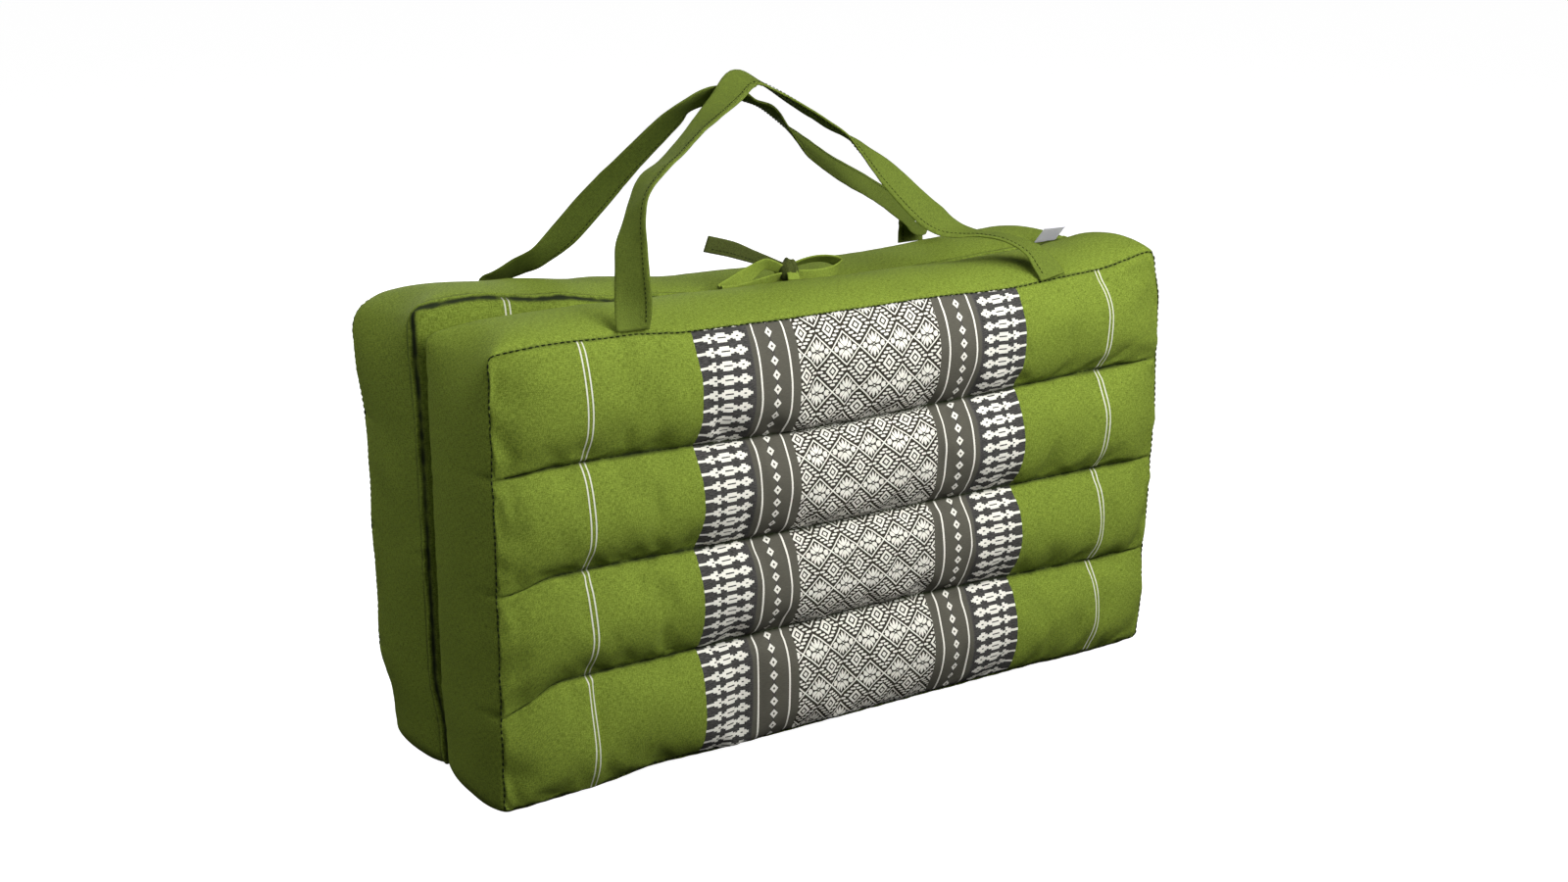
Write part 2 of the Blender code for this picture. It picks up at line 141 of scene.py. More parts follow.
# Stitches: (pitch, length, width), in millimetres
SEAM_STITCH = (4.8, 3.4, 1.2)
GROOVE_STITCH = (4.8, 3.4, 0.8)
BAND_STITCH = (3.4, 2.2, 0.6)
SEAM_STITCH_LIFT, BAND_STITCH_LIFT = 0.12 * MM, 0.15 * MM
GROOVE_STITCH_END = 8.0 * MM
STITCH_SHOULDER = 0.18

# Small waves of a band of cloth, and where its hem's ridge lies as a share of half its width
RUFFLE_LENGTH, RUFFLE_ACROSS, RUFFLE_MIDDLE = 13.0 * MM, 0.9, 0.35
EDGE_WAVE, EDGE_WAVE_LENGTH = 0.35 * MM, 21.0 * MM
HEM_PLACE, HEM_WIDTH, BAND_EDGE_POWER = 0.86, 0.12, 10
ROUTE_NUDGE = 0.05

# Straps, ties, fold strip and label
STRAP_WIDTH = 26.0 * MM
STRAP_THICK = 1.9 * MM
TIE_WIDTH = 12.0 * MM
TIE_THICK = 1.4 * MM
HINGE_LENGTH = 0.540
HINGE_WIDTH = 4.5 * MM
HINGE_THICK = 1.2 * MM
HINGE_RISE = 4.4 * MM
LABEL_X = 0.272
LABEL_WIDTH = 23.0 * MM
LABEL_THICK = 0.8 * MM

# The tables give places from the middle of the seams, the fold and the floor, in millimetres.
# Heights of the top seams: (along, front outer, front inner, back inner, back outer)
TOP_SEAM = (
    (-293, 334, 331, 346, 332),
    (-250, 336, 334, 348, 336),
    (-190, 334, 334, 340, 335),
    (-130, 329, 332, 331, 328),
    (-40, 327, 330, 323, 320),
    (60, 326, 327, 320, 317),
    (150, 323, 325, 320, 317),
    (230, 326, 326, 322, 320),
    (292, 334, 331, 326, 322),
)
FRONT_OUTER, FRONT_INNER, BACK_INNER, BACK_OUTER = 1, 2, 3, 4
# Height of the bottom seam: (along, height). Heights of each groove at the stations along the block
BOTTOM_SEAM = ((-293, 3), (-230, 4), (-165, 9), (-100, 7), (170, 6), (240, 4), (292, 5))
GROOVES = ((74, 91, 91, 84), (163, 170, 165, 162), (247, 249, 241, 245))
GROOVE_STATIONS = (-293, -245, 0, 292)
# How far the back block's inner seam stands off the fold: (height, left, middle, right)
STAND_OFF = (
    (0, 0, 0, 0),
    (30, 2, 2, 2),
    (80, 11, 9, 10),
    (250, 13, 10, 12),
    (340, 19, 12, 16),
)
# How far the back block leans out, and how far the ends bow or flare: (height, distance)
END_LEAN = ((0, -4), (60, -1), (120, 3), (190, 6), (250, 14), (340, 16))
LEAN_REACH = 88.0 * MM
RIGHT_BOW = (
    (5, 3), (40, 6.5), (84, 5.5), (123, 9), (162, 10), (203, 12), (245, 10.5), (290, 10.5), (334, 3)
)
INNER_FLARE = ((0, 0), (30, 1), (70, 4), (340, 4.5))
LEFT_FLARE = (
    (0, 2), (30, 3), (70, 8.5), (120, 6.5), (160, 7), (205, 5), (240, 3), (285, 7), (318, 7), (340, 5)
)

# The route of each strap: (along, away, up) of its middle, then the direction across it
FRONT_STRAP = (
    (-182, -87, 336, 1, 0, 0),
    (-181, -86, 355, 0.85, -0.5, 0),
    (-180.5, -84.5, 374, 0.64, -0.76, 0.1),
    (-178.5, -80.5, 393, 0.5, -0.86, 0.12),
    (-174, -76.5, 408, 0.18, -0.95, 0.25),
    (-165.5, -70, 424, 0.1, -0.93, 0.35),
    (-147.5, -59.5, 437.5, 0.36, -0.89, 0.28),
    (-127.5, -49.5, 444.5, 0.34, -0.87, 0.36),
    (-101.5, -35.5, 456.5, 0.34, -0.87, 0.34),
    (-73.5, -20, 468.5, 0.44, -0.89, 0.1),
    (-54.5, -9.5, 477, 0.49, -0.86, -0.08),
    (-35.5, 0.5, 486.5, 0.2, -0.9, -0.38),
    (-19, 0.5, 482, -0.16, -0.98, -0.1),
    (12.5, -2.5, 462.5, -0.08, -1, 0.03),
    (46, -5.5, 441, -0.12, -0.99, 0.01),
    (60.5, -8, 430.5, -0.37, -0.9, -0.24),
    (75, -10.5, 417, -0.54, -0.72, -0.43),
    (87, -14.5, 405, -0.7, -0.48, -0.52),
    (109.5, -23.5, 380.5, -0.74, -0.31, -0.6),
    (123.5, -29, 368.5, -0.7, -0.37, -0.6),
    (138.5, -35, 361, -0.66, -0.71, -0.25),
    (153.5, -43, 357, -0.5, -0.87, 0.03),
    (170.5, -54.5, 353.5, -0.72, -0.68, 0.03),
    (183.5, -69.5, 346, -0.9, -0.42, -0.05),
    (189, -80.5, 335, -0.98, -0.15, -0.05),
    (191, -88.3, 326.2, -1, 0, 0),
)
BACK_STRAP = (
    (-190.5, 107, 332.5, -1, 0, 0),
    (-190.5, 106.2, 335.5, -1, -0.05, 0),
    (-185.5, 102.5, 339.5, -0.8, -0.45, 0.35),
    (-175.5, 95, 346, -0.58, -0.55, 0.6),
    (-162.5, 84.5, 354.5, -0.48, -0.53, 0.7),
    (-147, 75.5, 370.5, -0.62, -0.2, 0.76),
    (-127, 62.5, 397, -0.78, -0.1, 0.62),
    (-105, 47, 426, -0.84, -0.27, 0.46),
    (-82.5, 30, 454, -0.82, -0.38, 0.43),
    (-72, 22.5, 466, -0.62, -0.65, 0.44),
    (-54.5, 17, 473.5, -0.33, -0.7, 0.62),
    (-35.5, 13.5, 473, -0.1, -0.88, 0.4),
    (-25, 13, 469, 0.1, -0.99, 0.06),
    (-7.5, 15.5, 462.5, 0.12, -0.99, 0),
    (7, 18.5, 451, 0, -0.97, -0.23),
    (21.5, 22, 438.5, -0.05, -0.9, -0.42),
    (37.5, 27.5, 426.5, -0.16, -0.78, -0.6),
    (76, 40.5, 403, -0.08, -0.7, -0.71),
    (121, 58.5, 380.5, -0.11, -0.69, -0.72),
    (166, 77, 355, -0.26, -0.62, -0.74),
    (184.5, 85.5, 343, -0.25, -0.5, -0.83),
    (193, 92.5, 337.5, 0.5, -0.4, -0.77),
    (196.5, 99, 336, 0.96, -0.15, -0.2),
    (197, 103.2, 329, 1, 0, 0),
    (197, 103.6, 319.6, 1, 0, 0),
)
# The bow, as routes of the flat tie: as above, with the width of the tie in the last column
BOW_FREE_END = (
    (8.5, 11.5, 338, 0.2, -0.1, 0.95, 6),
    (-7.5, 12.5, 344.5, 0.25, -0.1, 0.95, 8.5),
    (-23, 12.5, 351, 0.28, -0.1, 0.94, 10.5),
    (-39, 12.5, 357.5, 0.24, -0.1, 0.95, 12.5),
    (-61, 12.5, 364.5, 0.1, -0.1, 0.98, 13),
)
BOW_LEFT_LOOP = (
    (6.5, 8.5, 336, 0, -0.5, 0.85, 8),
    (-4.5, 8.5, 341.5, 0.15, -0.45, 0.88, 9),
    (-12.5, 9.5, 343, 0.1, -0.3, 0.95, 10.5),
    (-26.5, 9, 337, 0.15, 0, 0.98, 13),
    (-41.5, 8.5, 331, 0.15, 0, 0.98, 13),
    (-53.5, 8, 327.5, 0.2, -0.2, 0.95, 12),
    (-41.5, 6.5, 326.5, 0.3, -0.3, 0.9, 11),
    (-23.5, 6.5, 328.5, 0.3, -0.3, 0.9, 11),
    (-6.5, 7.5, 331, 0.2, -0.4, 0.9, 10),
    (6.5, 8.5, 333, 0, -0.7, 0.7, 8),
)
BOW_RIGHT_LOOP = (
    (14.5, 13.5, 336, 0, -0.6, 0.8, 8),
    (24.5, 17, 338.5, 0, -0.75, 0.65, 10.5),
    (40.5, 18.5, 339.5, 0, -0.8, 0.6, 12),
    (54.5, 17.5, 338, 0, -0.8, 0.6, 12),
    (61, 13.5, 334, 0, -0.5, 0.85, 11),
    (53.5, 10, 330, 0.05, -0.15, 0.98, 10),
    (38.5, 9.5, 328.5, 0, -0.05, 0.99, 10.5),
    (24.5, 11, 330, 0, -0.2, 0.95, 9.5),
    (14.5, 12.5, 332, 0, -0.5, 0.85, 8),
)
# Each tie from its seam to the knot: (along, away from the seam, up, width)
FRONT_ROOT = ((8.5, -2, 2.3, 11), (9, 1, 6.5, 10), (9.5, 4.1, 8.5, 9))
BACK_ROOT = ((11.5, 1.8, 2.3, 11), (11, 5.5, 4.6, 10), (9.5, 7.8, 9.5, 9), (8, 8, 14.5, 8))
KNOT_CENTRE = (9.5, 7.5, 336.0)
KNOT_SIZE = (16.0, 13.5, 19.0)
# The label from its seam: (along, away from the seam, up)
LABEL_ROWS = ((-3.5, -1.2, 2), (-3.5, -6.5, 8), (-3, -13, 15.5))

# The woven pattern on the cloth, in millimetres, with places along it from the middle of the band.
# Each channel takes six rows of the lattice and nine of the comb.
CHANNEL_CLOTH = 91.35
CHANNEL_SHIFTS = (0.0, 0.0, -0.6, 3.4)
BAND_MIDDLE = 9.5
BAND_HALF, LATTICE_HALF = 145.0, 63.0
FIRST_LINE, SECOND_LINE, LINE_WIDTH = 71.0, 96.0, 1.4
LEFT_LINES, RIGHT_LINES = -224.7, 235.0
ROW_PITCH = CHANNEL_CLOTH / 9
COMB_START, TEETH_START, TOOTH_HEIGHT = 100.0, 5.85, 0.88
SMALL_DIAMONDS, SMALL_SIZE, SMALL_INSIDE = 83.7, (3.15, 3.75), 0.34
TIPS_REACH, TIPS_HALF = 1.5, 1.5
CELL_HALF_WIDTH, CELL_HALF_HEIGHT = 12.2, CHANNEL_CLOTH / 6
LATTICE_SHIFT, STARS_START = 3.2, 6.5
STAR_PITCH = (0.508, 0.554)
BARS_SIZE, BARS_INSIDE, BARS_OUTSIDE = (12.2, 12.1), 0.935, 1.055
RING_SIZE, RING_INSIDE, RING_CENTRE = (5.6, 6.1), 0.59, 0.33
BEAD_PITCH, BEAD_SIZE, BEAD_HALF_ROW = 2.49, (2.2, 2.3), 0.82
BEAD_START, BEAD_SLANT = 9.8, -0.983
BEADS_END, BEADS_CLEAR = 10.2, 1.15
THREAD_PITCH, THREAD_WANDER, RAGGED_EDGE, SATIN_PITCH = 1.05, 0.3, 9.0, 0.5
SLUB_ALONG, SLUB_ACROSS = 0.30, 1.6
PLAIN_RELIEF, PATTERN_RELIEF = 0.25 * MM, 0.28 * MM

# Drawn charts of the weave, one sign for each crossing of threads, from a motif's middle outwards
STAR_CHART = (
    "#..........#######......",
    "..#.####...########.....",
    "...#######..######......",
    "##.########..####.......",
    "###.#######.............",
    "####.######.............",
    "#####.#####.............",
    "######.####.............",
    "######..#.#.............",
    "##.####...#.............",
    "##.####.................",
    "##..###.................",
    "##...##.................",
    "##...#..................",
    "#.......................",
    "#.......................",
)
COMB_CHART = (
    "....#####..########.......######..###########",
    "....#########################################",
    *2 * ("......########..#############...######.......",),
    *3 * ("........####.......########.....###..........",),
    *2 * (".............................................",),
)
CHART_COLUMNS = 15

# Colours, as linear red, green and blue
LEAF_GREEN = (0.155, 0.208, 0.026)
DEEP_GREEN = (0.060, 0.084, 0.007)
FRONT_STRAP_GREEN = (0.094, 0.128, 0.016)
# The back strap's green is a darker copy of the front strap's: painted shade
BACK_STRAP_SHADED_GREEN = (0.080, 0.109, 0.014)
# The tie's free end and the knot: a darker green that is painted shade
TIE_PAINTED_SHADE = (0.050, 0.062, 0.012)
CREAM = (0.560, 0.550, 0.490)
WARM_GREY = (0.062, 0.059, 0.046)
LATTICE_DARK = (0.024, 0.021, 0.015)
CHARCOAL = (0.034, 0.033, 0.031)
# Dark thread, and the dark that the painted shade in the sewn lines mixes towards
THREAD_AND_SHADE_DARK = (0.008, 0.012, 0.003)
SATIN_WHITE = (0.520, 0.510, 0.570)
FLOOR_GREY, FLOOR_GLOW, WORLD_GLOW = (0.3, 0.3, 0.3), 0.97, 0.05

# The camera, and the lamps as (name, place, size, power), all aimed at the middle of the mat
CAMERA_PLACE, CAMERA_TURN, CAMERA_RISE, CAMERA_LENS = (-0.9558, -1.4415, 0.7294), -33.725, 17.012, 53.29
LAMP_AIM = (0.0, 0.0, 0.17)
LAMPS = (
    ("right_softbox", (0.6, -0.9, 1.2), 0.8, 19.5),
    ("left_softbox", (-0.8, 0.3, 1.3), 0.9, 11.0),
    ("front_softbox", (0.1, -0.9, 0.8), 0.6, 15.0),
    ("left_fill", (-1.3, -0.4, 1.2), 0.9, 5.8),
    ("left_rim", (-1.0, 1.0, 0.8), 0.5, 1.5),
    ("low_fill", (1.2, -1.4, 0.5), 0.9, 3.0),
    ("back_fill", (0.3, 1.8, 0.5), 0.9, 14.0),
)


def darker(colour, share):
    return tuple(share * part for part in colour)


def eased(rows, value, column):
    """The value of a column of a table between its rows, with level tangents at each row."""
    if value <= rows[0][0]:
        return rows[0][column]
    for low, high in zip(rows, rows[1:]):
        if value <= high[0]:
            t = (value - low[0]) / (high[0] - low[0])
            t = t * t * (3 - 2 * t)
            return low[column] + (high[column] - low[column]) * t
    return rows[-1][column]


def read(rows, value, column=1):
    """The same for a table in millimetres, with the value and the result in metres."""
    return eased(rows, value / MM, column) * MM


def arch(t, power):
    """An arch over t from 0 to 1, with a height of 1."""
    return max(0.0, 4 * t * (1 - t)) ** power


def clamped(value, low=0.0, high=1.0):
    return max(low, min(high, value))


def bell(away, width):
    """A smooth rise to 1 where away is 0."""
    return math.exp(-((away / width) ** 2))


def noise_at(a, b, c):
    return noise.noise(Vector((a, b, c)))


def linked(name, data):
    """A new object in the scene."""
    made = bpy.data.objects.new(name, data)
    bpy.context.scene.collection.objects.link(made)
    return made


# Shape of the blocks


def groove_height(groove, x):
    return read(tuple(zip(GROOVE_STATIONS, GROOVES[groove])), x)


def top_seam(x, t, back):
    """Height of the block's top rim, with t from 0 at the outer seam to 1 at the inner one."""
    outer = read(TOP_SEAM, x, BACK_OUTER if back else FRONT_OUTER)
    inner = read(TOP_SEAM, x, BACK_INNER if back else FRONT_INNER)
    return outer + (inner - outer) * t


def sewn_height(x, w, t, back):
    """Carries a height on the plain block to its place between the sewn lines."""
    top = top_seam(x, t, back)
    bottom = read(BOTTOM_SEAM, x) * (1 - t) + HINGE_SEAM * t
    lines = [bottom] + [groove_height(g, x) for g in range(CHANNELS - 1)] + [top]
    channel = min(CHANNELS - 1, max(0, int(w / PITCH)))
    share = w / PITCH - channel
    return lines[channel] + (lines[channel + 1] - lines[channel]) * share


def stand_off(x, z):
    """How far the inner seam of the back block stands off the fold."""
    left, middle, right = (read(STAND_OFF, z, column) for column in (1, 2, 3))
    return eased(((-LENGTH / 2, left), (0, middle), (LENGTH / 2, right)), x, 1)


def end_lean(x, z):
    """How far the back block's outer face leans out towards its left end."""
    return eased(((-LENGTH / 2, read(END_LEAN, z)), (LEAN_REACH - LENGTH / 2, 0.0)), x, 1)


def corner_radius(u, t, w, back):
    """Radius of the outline's corner that is nearest, which is widest between the seams."""
    on_top = w > HEIGHT / 2
    at_seam = SEAM_CORNER
    if back and on_top:
        at_seam += (BACK_CORNER - SEAM_CORNER) * (1 - t)
    crown = RIGHT_CROWN_CORNER if u > 0 else LEFT_CROWN_CORNER
    widest = crown if on_top else FOOT_CORNER
    return at_seam + max(0.0, widest - at_seam) * arch(t, 1.0)


def rounded(u, w, radius):
    """Rounds the corners of the block's outline, and says which way is outwards there."""
    centre_u = max(-LENGTH / 2 + radius, min(LENGTH / 2 - radius, u))
    centre_w = max(radius, min(HEIGHT - radius, w))
    du, dw = u - centre_u, w - centre_w
    reach = math.hypot(du, dw)
    if reach < 1e-9:
        return u, w, 0.0, 0.0
    scale = max(abs(du), abs(dw)) / reach
    return centre_u + du * scale, centre_w + dw * scale, du / reach, dw / reach


def channel_bulge(u, w):
    """The share of the full bulge that a face has at a place on the plain block."""
    channel = arch(((w / PITCH) % 1.0) ** SAG, CHANNEL_ARCH)
    to_end = LENGTH / 2 - abs(u)
    free = clamped((GROOVE_FREE_END - to_end) / (GROOVE_FADE * GROOVE_FREE_END))
    merged = 1 - MERGED_DIP * (1 - channel)
    whole = arch(w / HEIGHT, FACE_ARCH)
    channel = channel * (1 - free) + merged * whole * free
    reach = min(1.0, to_end / END_REACH)
    return channel * (1 - (1 - reach) ** END_POWER) ** END_ARCH


def block_point(u, v, w, back, fullness):
    """The place of a point of the plain block, with v as its distance from the outer face."""
    t = v / DEPTH
    on_rim = on_ends((u, v, w)) or on_levels((u, v, w))
    flat_u, flat_w, out_u, out_w = rounded(u, w, corner_radius(u, t, w, back))
    z = sewn_height(flat_u, flat_w, t, back)
    x = flat_u
    to_end = (2 * u / LENGTH) ** 3
    if u > 0:
        x += read(RIGHT_BOW, z) * to_end
    else:
        x += read(INNER_FLARE, z) * t * to_end
        if back:
            x += read(LEFT_FLARE, z) * (1 - t) * to_end
    y = GAP + (DEPTH - v)
    if back:
        y += stand_off(x, z) + end_lean(x, z) * (1 - t)
    if on_rim:
        top_crown = BACK_TOP_CROWN if back else TOP_CROWN
        swell = END_CROWN + (top_crown - END_CROWN) * out_w * out_w
        swell += FOOT_SWELL * abs(out_u) * max(0.0, 1 - w / FOOT_HEIGHT)
        swell *= arch(t, BORDER_ARCH)
        x += out_u * swell
        z += out_w * swell
        if out_w < 0:
            z += (HINGE_SEAM - z) * max(0.0, 1 - (DEPTH - v) / HINGE_ROUND) ** FOOT_ARCH
    elif v < CLOSE:
        full = channel_bulge(u, w)
        y += (FACE_BULGE * fullness + GROOVE_INSET) * full - GROOVE_INSET
    else:
        room = max(0.0, stand_off(x, z) / 2 - GAP)
        y -= room * channel_bulge(u, w) ** INNER_ARCH
    side = 1 if back else -1
    return Vector((MIDDLE_X + x, FOLD_Y + side * y, max(0.0, z)))


# The skin of a block


def both_ways(edge_cuts, half, step):
    """Places from 0 to twice half: the given cuts near both ends, and even steps between them."""
    cuts = [cut * MM for cut in edge_cuts]
    count = max(1, round((half - cuts[-1]) / step))
    spread = (half - cuts[-1]) / count
    first = cuts + [cuts[-1] + spread * (k + 1) for k in range(count)]
    return first + [2 * half - cut for cut in reversed(first[:-1])]


def skin_cuts():
    along = [cut - LENGTH / 2 for cut in both_ways(END_CUTS, LENGTH / 2, END_STEP)]
    through = both_ways(DEPTH_CUTS, DEPTH / 2, DEPTH_STEP)
    channel = both_ways(GROOVE_CUTS, PITCH / 2, GROOVE_STEP)
    up = [0.0]
    for k in range(CHANNELS):
        up += [k * PITCH + cut for cut in channel[1:]]
    return along, through, up


def skin(name, back, fullness):
    """One block's skin, with its plain places as an attribute and the cloth's own lengths as its map."""
    cuts = along, through, up = skin_cuts()
    last = [len(places) - 1 for places in cuts]
    index, plain, faces, kinds, maps = {}, [], [], [], []

    def at(corner):
        if corner not in index:
            index[corner] = len(plain)
            plain.append(tuple(places[n] for places, n in zip(cuts, corner)))
        return index[corner]

    def add(corners, kind, flat):
        order = list(zip(corners, flat))
        if back:
            order.reverse()
        faces.append([at(corner) for corner, _ in order])
        maps.extend(place for _, place in order)
        kinds.append(kind)

    sides = (
        (along, up, lambda a, b, far: (a, far * last[1], b), FACES, 0.0, 0.0),
        (along, through, lambda a, b, far: (a, b, (1 - far) * last[2]), BORDERS, 0.0, BORDER_MAP),
        (through, up, lambda a, b, far: ((1 - far) * last[0], a, b), BORDERS, BORDER_MAP, 0.0),
    )
    for first, second, corner, kind, first_map, second_map in sides:
        for i in range(len(first) - 1):
            for j in range(len(second) - 1):
                ring = [(i, j), (i + 1, j), (i + 1, j + 1), (i, j + 1)]
                flat = [(first[a] + first_map, second[b] + second_map) for a, b in ring]
                add([corner(a, b, 0) for a, b in ring], kind, flat)
                add([corner(a, b, 1) for a, b in reversed(ring)], kind, flat[::-1])

    mesh = bpy.data.meshes.new(name)
    mesh.from_pydata([block_point(*place, back, fullness) for place in plain], [], faces)
    mesh.polygons.foreach_set("material_index", kinds)
    kept = mesh.attributes.new("plain", "FLOAT_VECTOR", "POINT")
    kept.data.foreach_set("vector", [c for place in plain for c in place])
    cloth_map = mesh.uv_layers.new(name="cloth")
    cloth_map.data.foreach_set("uv", [c for place in maps for c in place])
    crease = mesh.attributes.new("crease_edge", "FLOAT", "EDGE")
    for edge in mesh.edges:
        crease.data[edge.index].value = sewn_crease(*(plain[v] for v in edge.vertices))
    return linked(name, mesh), plain, index, cuts


def on_ends(place):
    return abs(abs(place[0]) - LENGTH / 2) < CLOSE


def on_levels(place):
    return place[2] < CLOSE or place[2] > HEIGHT - CLOSE


def on_seam(place):
    """Whether a plain place is on the sewn line round one of the two faces."""
    on_depths = place[1] < CLOSE or place[1] > DEPTH - CLOSE
    return on_depths and (on_ends(place) or on_levels(place))


def on_groove(place):
    """Whether a plain place is on a sewn groove of the outer face."""
    share = place[2] / PITCH
    sewn = abs(place[0]) < LENGTH / 2 - GROOVE_FREE_END
    return place[1] < CLOSE and sewn and abs(share - round(share)) < CLOSE


def sewn_crease(a, b):
    if on_seam(a) and on_seam(b):
        return SEAM_CREASE
    return GROOVE_CREASE if on_groove(a) and on_groove(b) else 0.0


def fill(piece, plain):
    """Fills the skin: air pressure pushes out the cloth between the sewn lines, which are held."""
    held = [i for i, place in enumerate(plain) if is_held(place)]
    taut = [i for i, place in enumerate(plain) if on_ends(place) or on_levels(place)]
    piece.vertex_groups.new(name="held").add(held, 1.0, "REPLACE")
    piece.vertex_groups.new(name="taut").add(taut, 1.0, "REPLACE")
    start = [vertex.co.copy() for vertex in piece.data.vertices]
    cloth = piece.modifiers.new("Filling", "CLOTH")
    for setting, value in FILLING.items():
        setattr(cloth.settings, setting, value)
    cloth.settings.effector_weights.gravity = 0
    cloth.point_cache.frame_start = 1
    cloth.point_cache.frame_end = FILLING_FRAMES
    for frame in range(1, FILLING_FRAMES + 1):
        bpy.context.scene.frame_set(frame)
    graph = bpy.context.evaluated_depsgraph_get()
    swollen = piece.evaluated_get(graph).to_mesh()
    shifts = [vertex.co - before for vertex, before in zip(swollen.vertices, start)]
    piece.evaluated_get(graph).to_mesh_clear()
    piece.modifiers.remove(cloth)
    piece.vertex_groups.clear()
    for vertex, before, shift in zip(piece.data.vertices, start, evened(piece.data, plain, shifts)):
        if shift.length > MOST_FILLING:
            shift = shift * (MOST_FILLING / shift.length)
        vertex.co = before + shift
    bpy.context.scene.frame_set(1)


def evened(mesh, plain, shifts):
    """Averages the shifts of the border's free points with their neighbours', so all cuts move alike."""
    near = [[] for _ in shifts]
    for edge in mesh.edges:
        a, b = edge.vertices
        near[a].append(b)
        near[b].append(a)
    free = [i for i, place in enumerate(plain) if not is_held(place) and place[1] > CLOSE]
    for _ in range(EVENING_ROUNDS):
        means = [sum((shifts[n] for n in near[i]), Vector()) / len(near[i]) for i in free]
        for i, mean in zip(free, means):
            shifts[i] = shifts[i].lerp(mean, EVENING_SHARE)
    return shifts


def is_held(place):
    """The filling moves the outer face, the ends and the top. Sewn lines and resting cloth are held."""
    resting = place[2] < CLOSE or place[1] > DEPTH - CLOSE
    return on_seam(place) or on_groove(place) or resting


def measure_cloth(piece, index, cuts):
    """Writes the cloth's length up each face into its map, the same for each channel of the outer face."""
    along, through, up = cuts
    middle = min(range(len(along)), key=lambda i: abs(along[i] - BAND_MIDDLE * MM))
    points = piece.data.vertices
    travelled = {}
    for j in (0, len(through) - 1):
        lengths = [0.0]
        for k in range(1, len(up)):
            step = points[index[middle, j, k]].co - points[index[middle, j, k - 1]].co
            lengths.append(lengths[-1] + step.length)
        travelled[j] = lengths
    outer, inner = travelled.values()
    per_channel = (len(up) - 1) // CHANNELS
    even = []
    for k, length in enumerate(outer):
        channel = min(CHANNELS - 1, k // per_channel)
        low, high = outer[channel * per_channel], outer[(channel + 1) * per_channel]
        share = (length - low) / (high - low)
        even.append(((channel + share) * CHANNEL_CLOTH + CHANNEL_SHIFTS[channel]) * MM)
    kept = piece.data.attributes["plain"].data
    cloth_map = piece.data.uv_layers["cloth"].data
    for polygon in piece.data.polygons:
        if polygon.material_index != FACES:
            continue
        for loop in polygon.loop_indices:
            place = kept[piece.data.loops[loop].vertex_index].vector
            lengths = even if place[1] < DEPTH / 2 else inner
            cloth_map[loop].uv[1] = lengths[bisect_left(up, place[2] - 1e-5)]


def smoothed(piece):
    """One level of subdivision, applied."""
    finer = piece.modifiers.new("Finer", "SUBSURF")
    finer.levels = 1
    finer.render_levels = 1
    finer.uv_smooth = "NONE"
    graph = bpy.context.evaluated_depsgraph_get()
    finished = piece.evaluated_get(graph)
    mesh = bpy.data.meshes.new_from_object(finished, preserve_all_data_layers=True, depsgraph=graph)
    piece.modifiers.remove(finer)
    old = piece.data
    piece.data = mesh
    bpy.data.meshes.remove(old)
    mesh.name = piece.name
    mesh.shade_smooth()


def gathers(along, away, seed, sizes):
    """Small gathers across a sewn line, deepest at the line: finer ones and broader ones."""
    height, reach, pitch = (size * MM for size in sizes)
    wave = noise_at(along / pitch, away / (4 * pitch), seed)
    broad = noise_at(along / (2.7 * pitch), away / (6 * pitch), seed + 9.5)
    return height * (wave + 0.6 * broad) * math.exp(-away / reach)


def nearest_groove(w):
    """Height of the nearest sewn groove on the plain block, or nothing nearest to its top and foot."""
    groove = round(w / PITCH)
    return groove * PITCH if 0 < groove < CHANNELS else None


def sewn_detail(place, back, seed):
    """How far a point of the skin stands out or in from small folds, gathers and the seams."""
    u, v, w = place
    to_end = LENGTH / 2 - abs(u)
    to_top = HEIGHT - w
    if v < CLOSE:
        to_seam = min(to_end, to_top, w)
        along = w if to_end == to_seam else u
        height = gathers(along, to_seam, seed, FACE_GATHERS) - seam_valley(to_seam)
        groove = nearest_groove(w)
        if groove:
            height += gathers(u, abs(w - groove), seed + groove * 70, GROOVE_GATHERS)
        inside = min(1.0, to_seam / FACE_LUMP_START)
        return height + FACE_LUMP * lumps(u, w, FACE_LUMP_SIZE, seed + 3) * inside
    if v > DEPTH - CLOSE:
        return -seam_valley(min(to_end, to_top))
    along = border_length(u, w)
    from_inner = DEPTH - v
    height = welt(from_inner, along, seed) if back else 0.0
    height -= seam_valley(v) + seam_valley(from_inner)
    height += gathers(along, v, seed + 5, BORDER_OUTER_GATHERS)
    height += gathers(along, from_inner, seed + 7, BORDER_INNER_GATHERS)
    lump = lumps(along, v, BORDER_LUMP_SIZE, seed + 11) * arch(v / DEPTH, BORDER_LUMP_ARCH)
    height += BORDER_LUMP * lump
    return height - groove_pull(v, w) if to_end < CLOSE else height


def groove_pull(v, w):
    """The short creases that the grooves draw into the ends."""
    groove = nearest_groove(w)
    if not groove:
        return 0.0
    return CREASE_DEPTH * bell(v, CREASE_LENGTH) * bell(w - groove, CREASE_WIDTH)


def border_length(u, w):
    """The place along the border, which runs up the left end, over the top and down the right end."""
    if on_levels((u, 0.0, w)):
        return u
    return math.copysign(LENGTH / 2 + HEIGHT - w, u)


def lumps(a, b, size, seed):
    return noise_at(a / size, b / size, seed)


def seam_valley(away):
    """The sewn line sinks a little between the two cloths."""
    return SEAM_DIP * bell(away, SEAM_DIP_WIDTH)


def welt(away, along, seed):
    """The pinched ridge beside an inner seam, which comes and goes along it."""
    change = WELT_CHANGE * lumps(along, 0.0, WELT_LENGTH, seed + 15)
    share = clamped(0.8 + change, WELT_LEAST, WELT_MOST)
    return WELT_RISE * share * bell(away - WELT_PLACE, WELT_WIDTH)


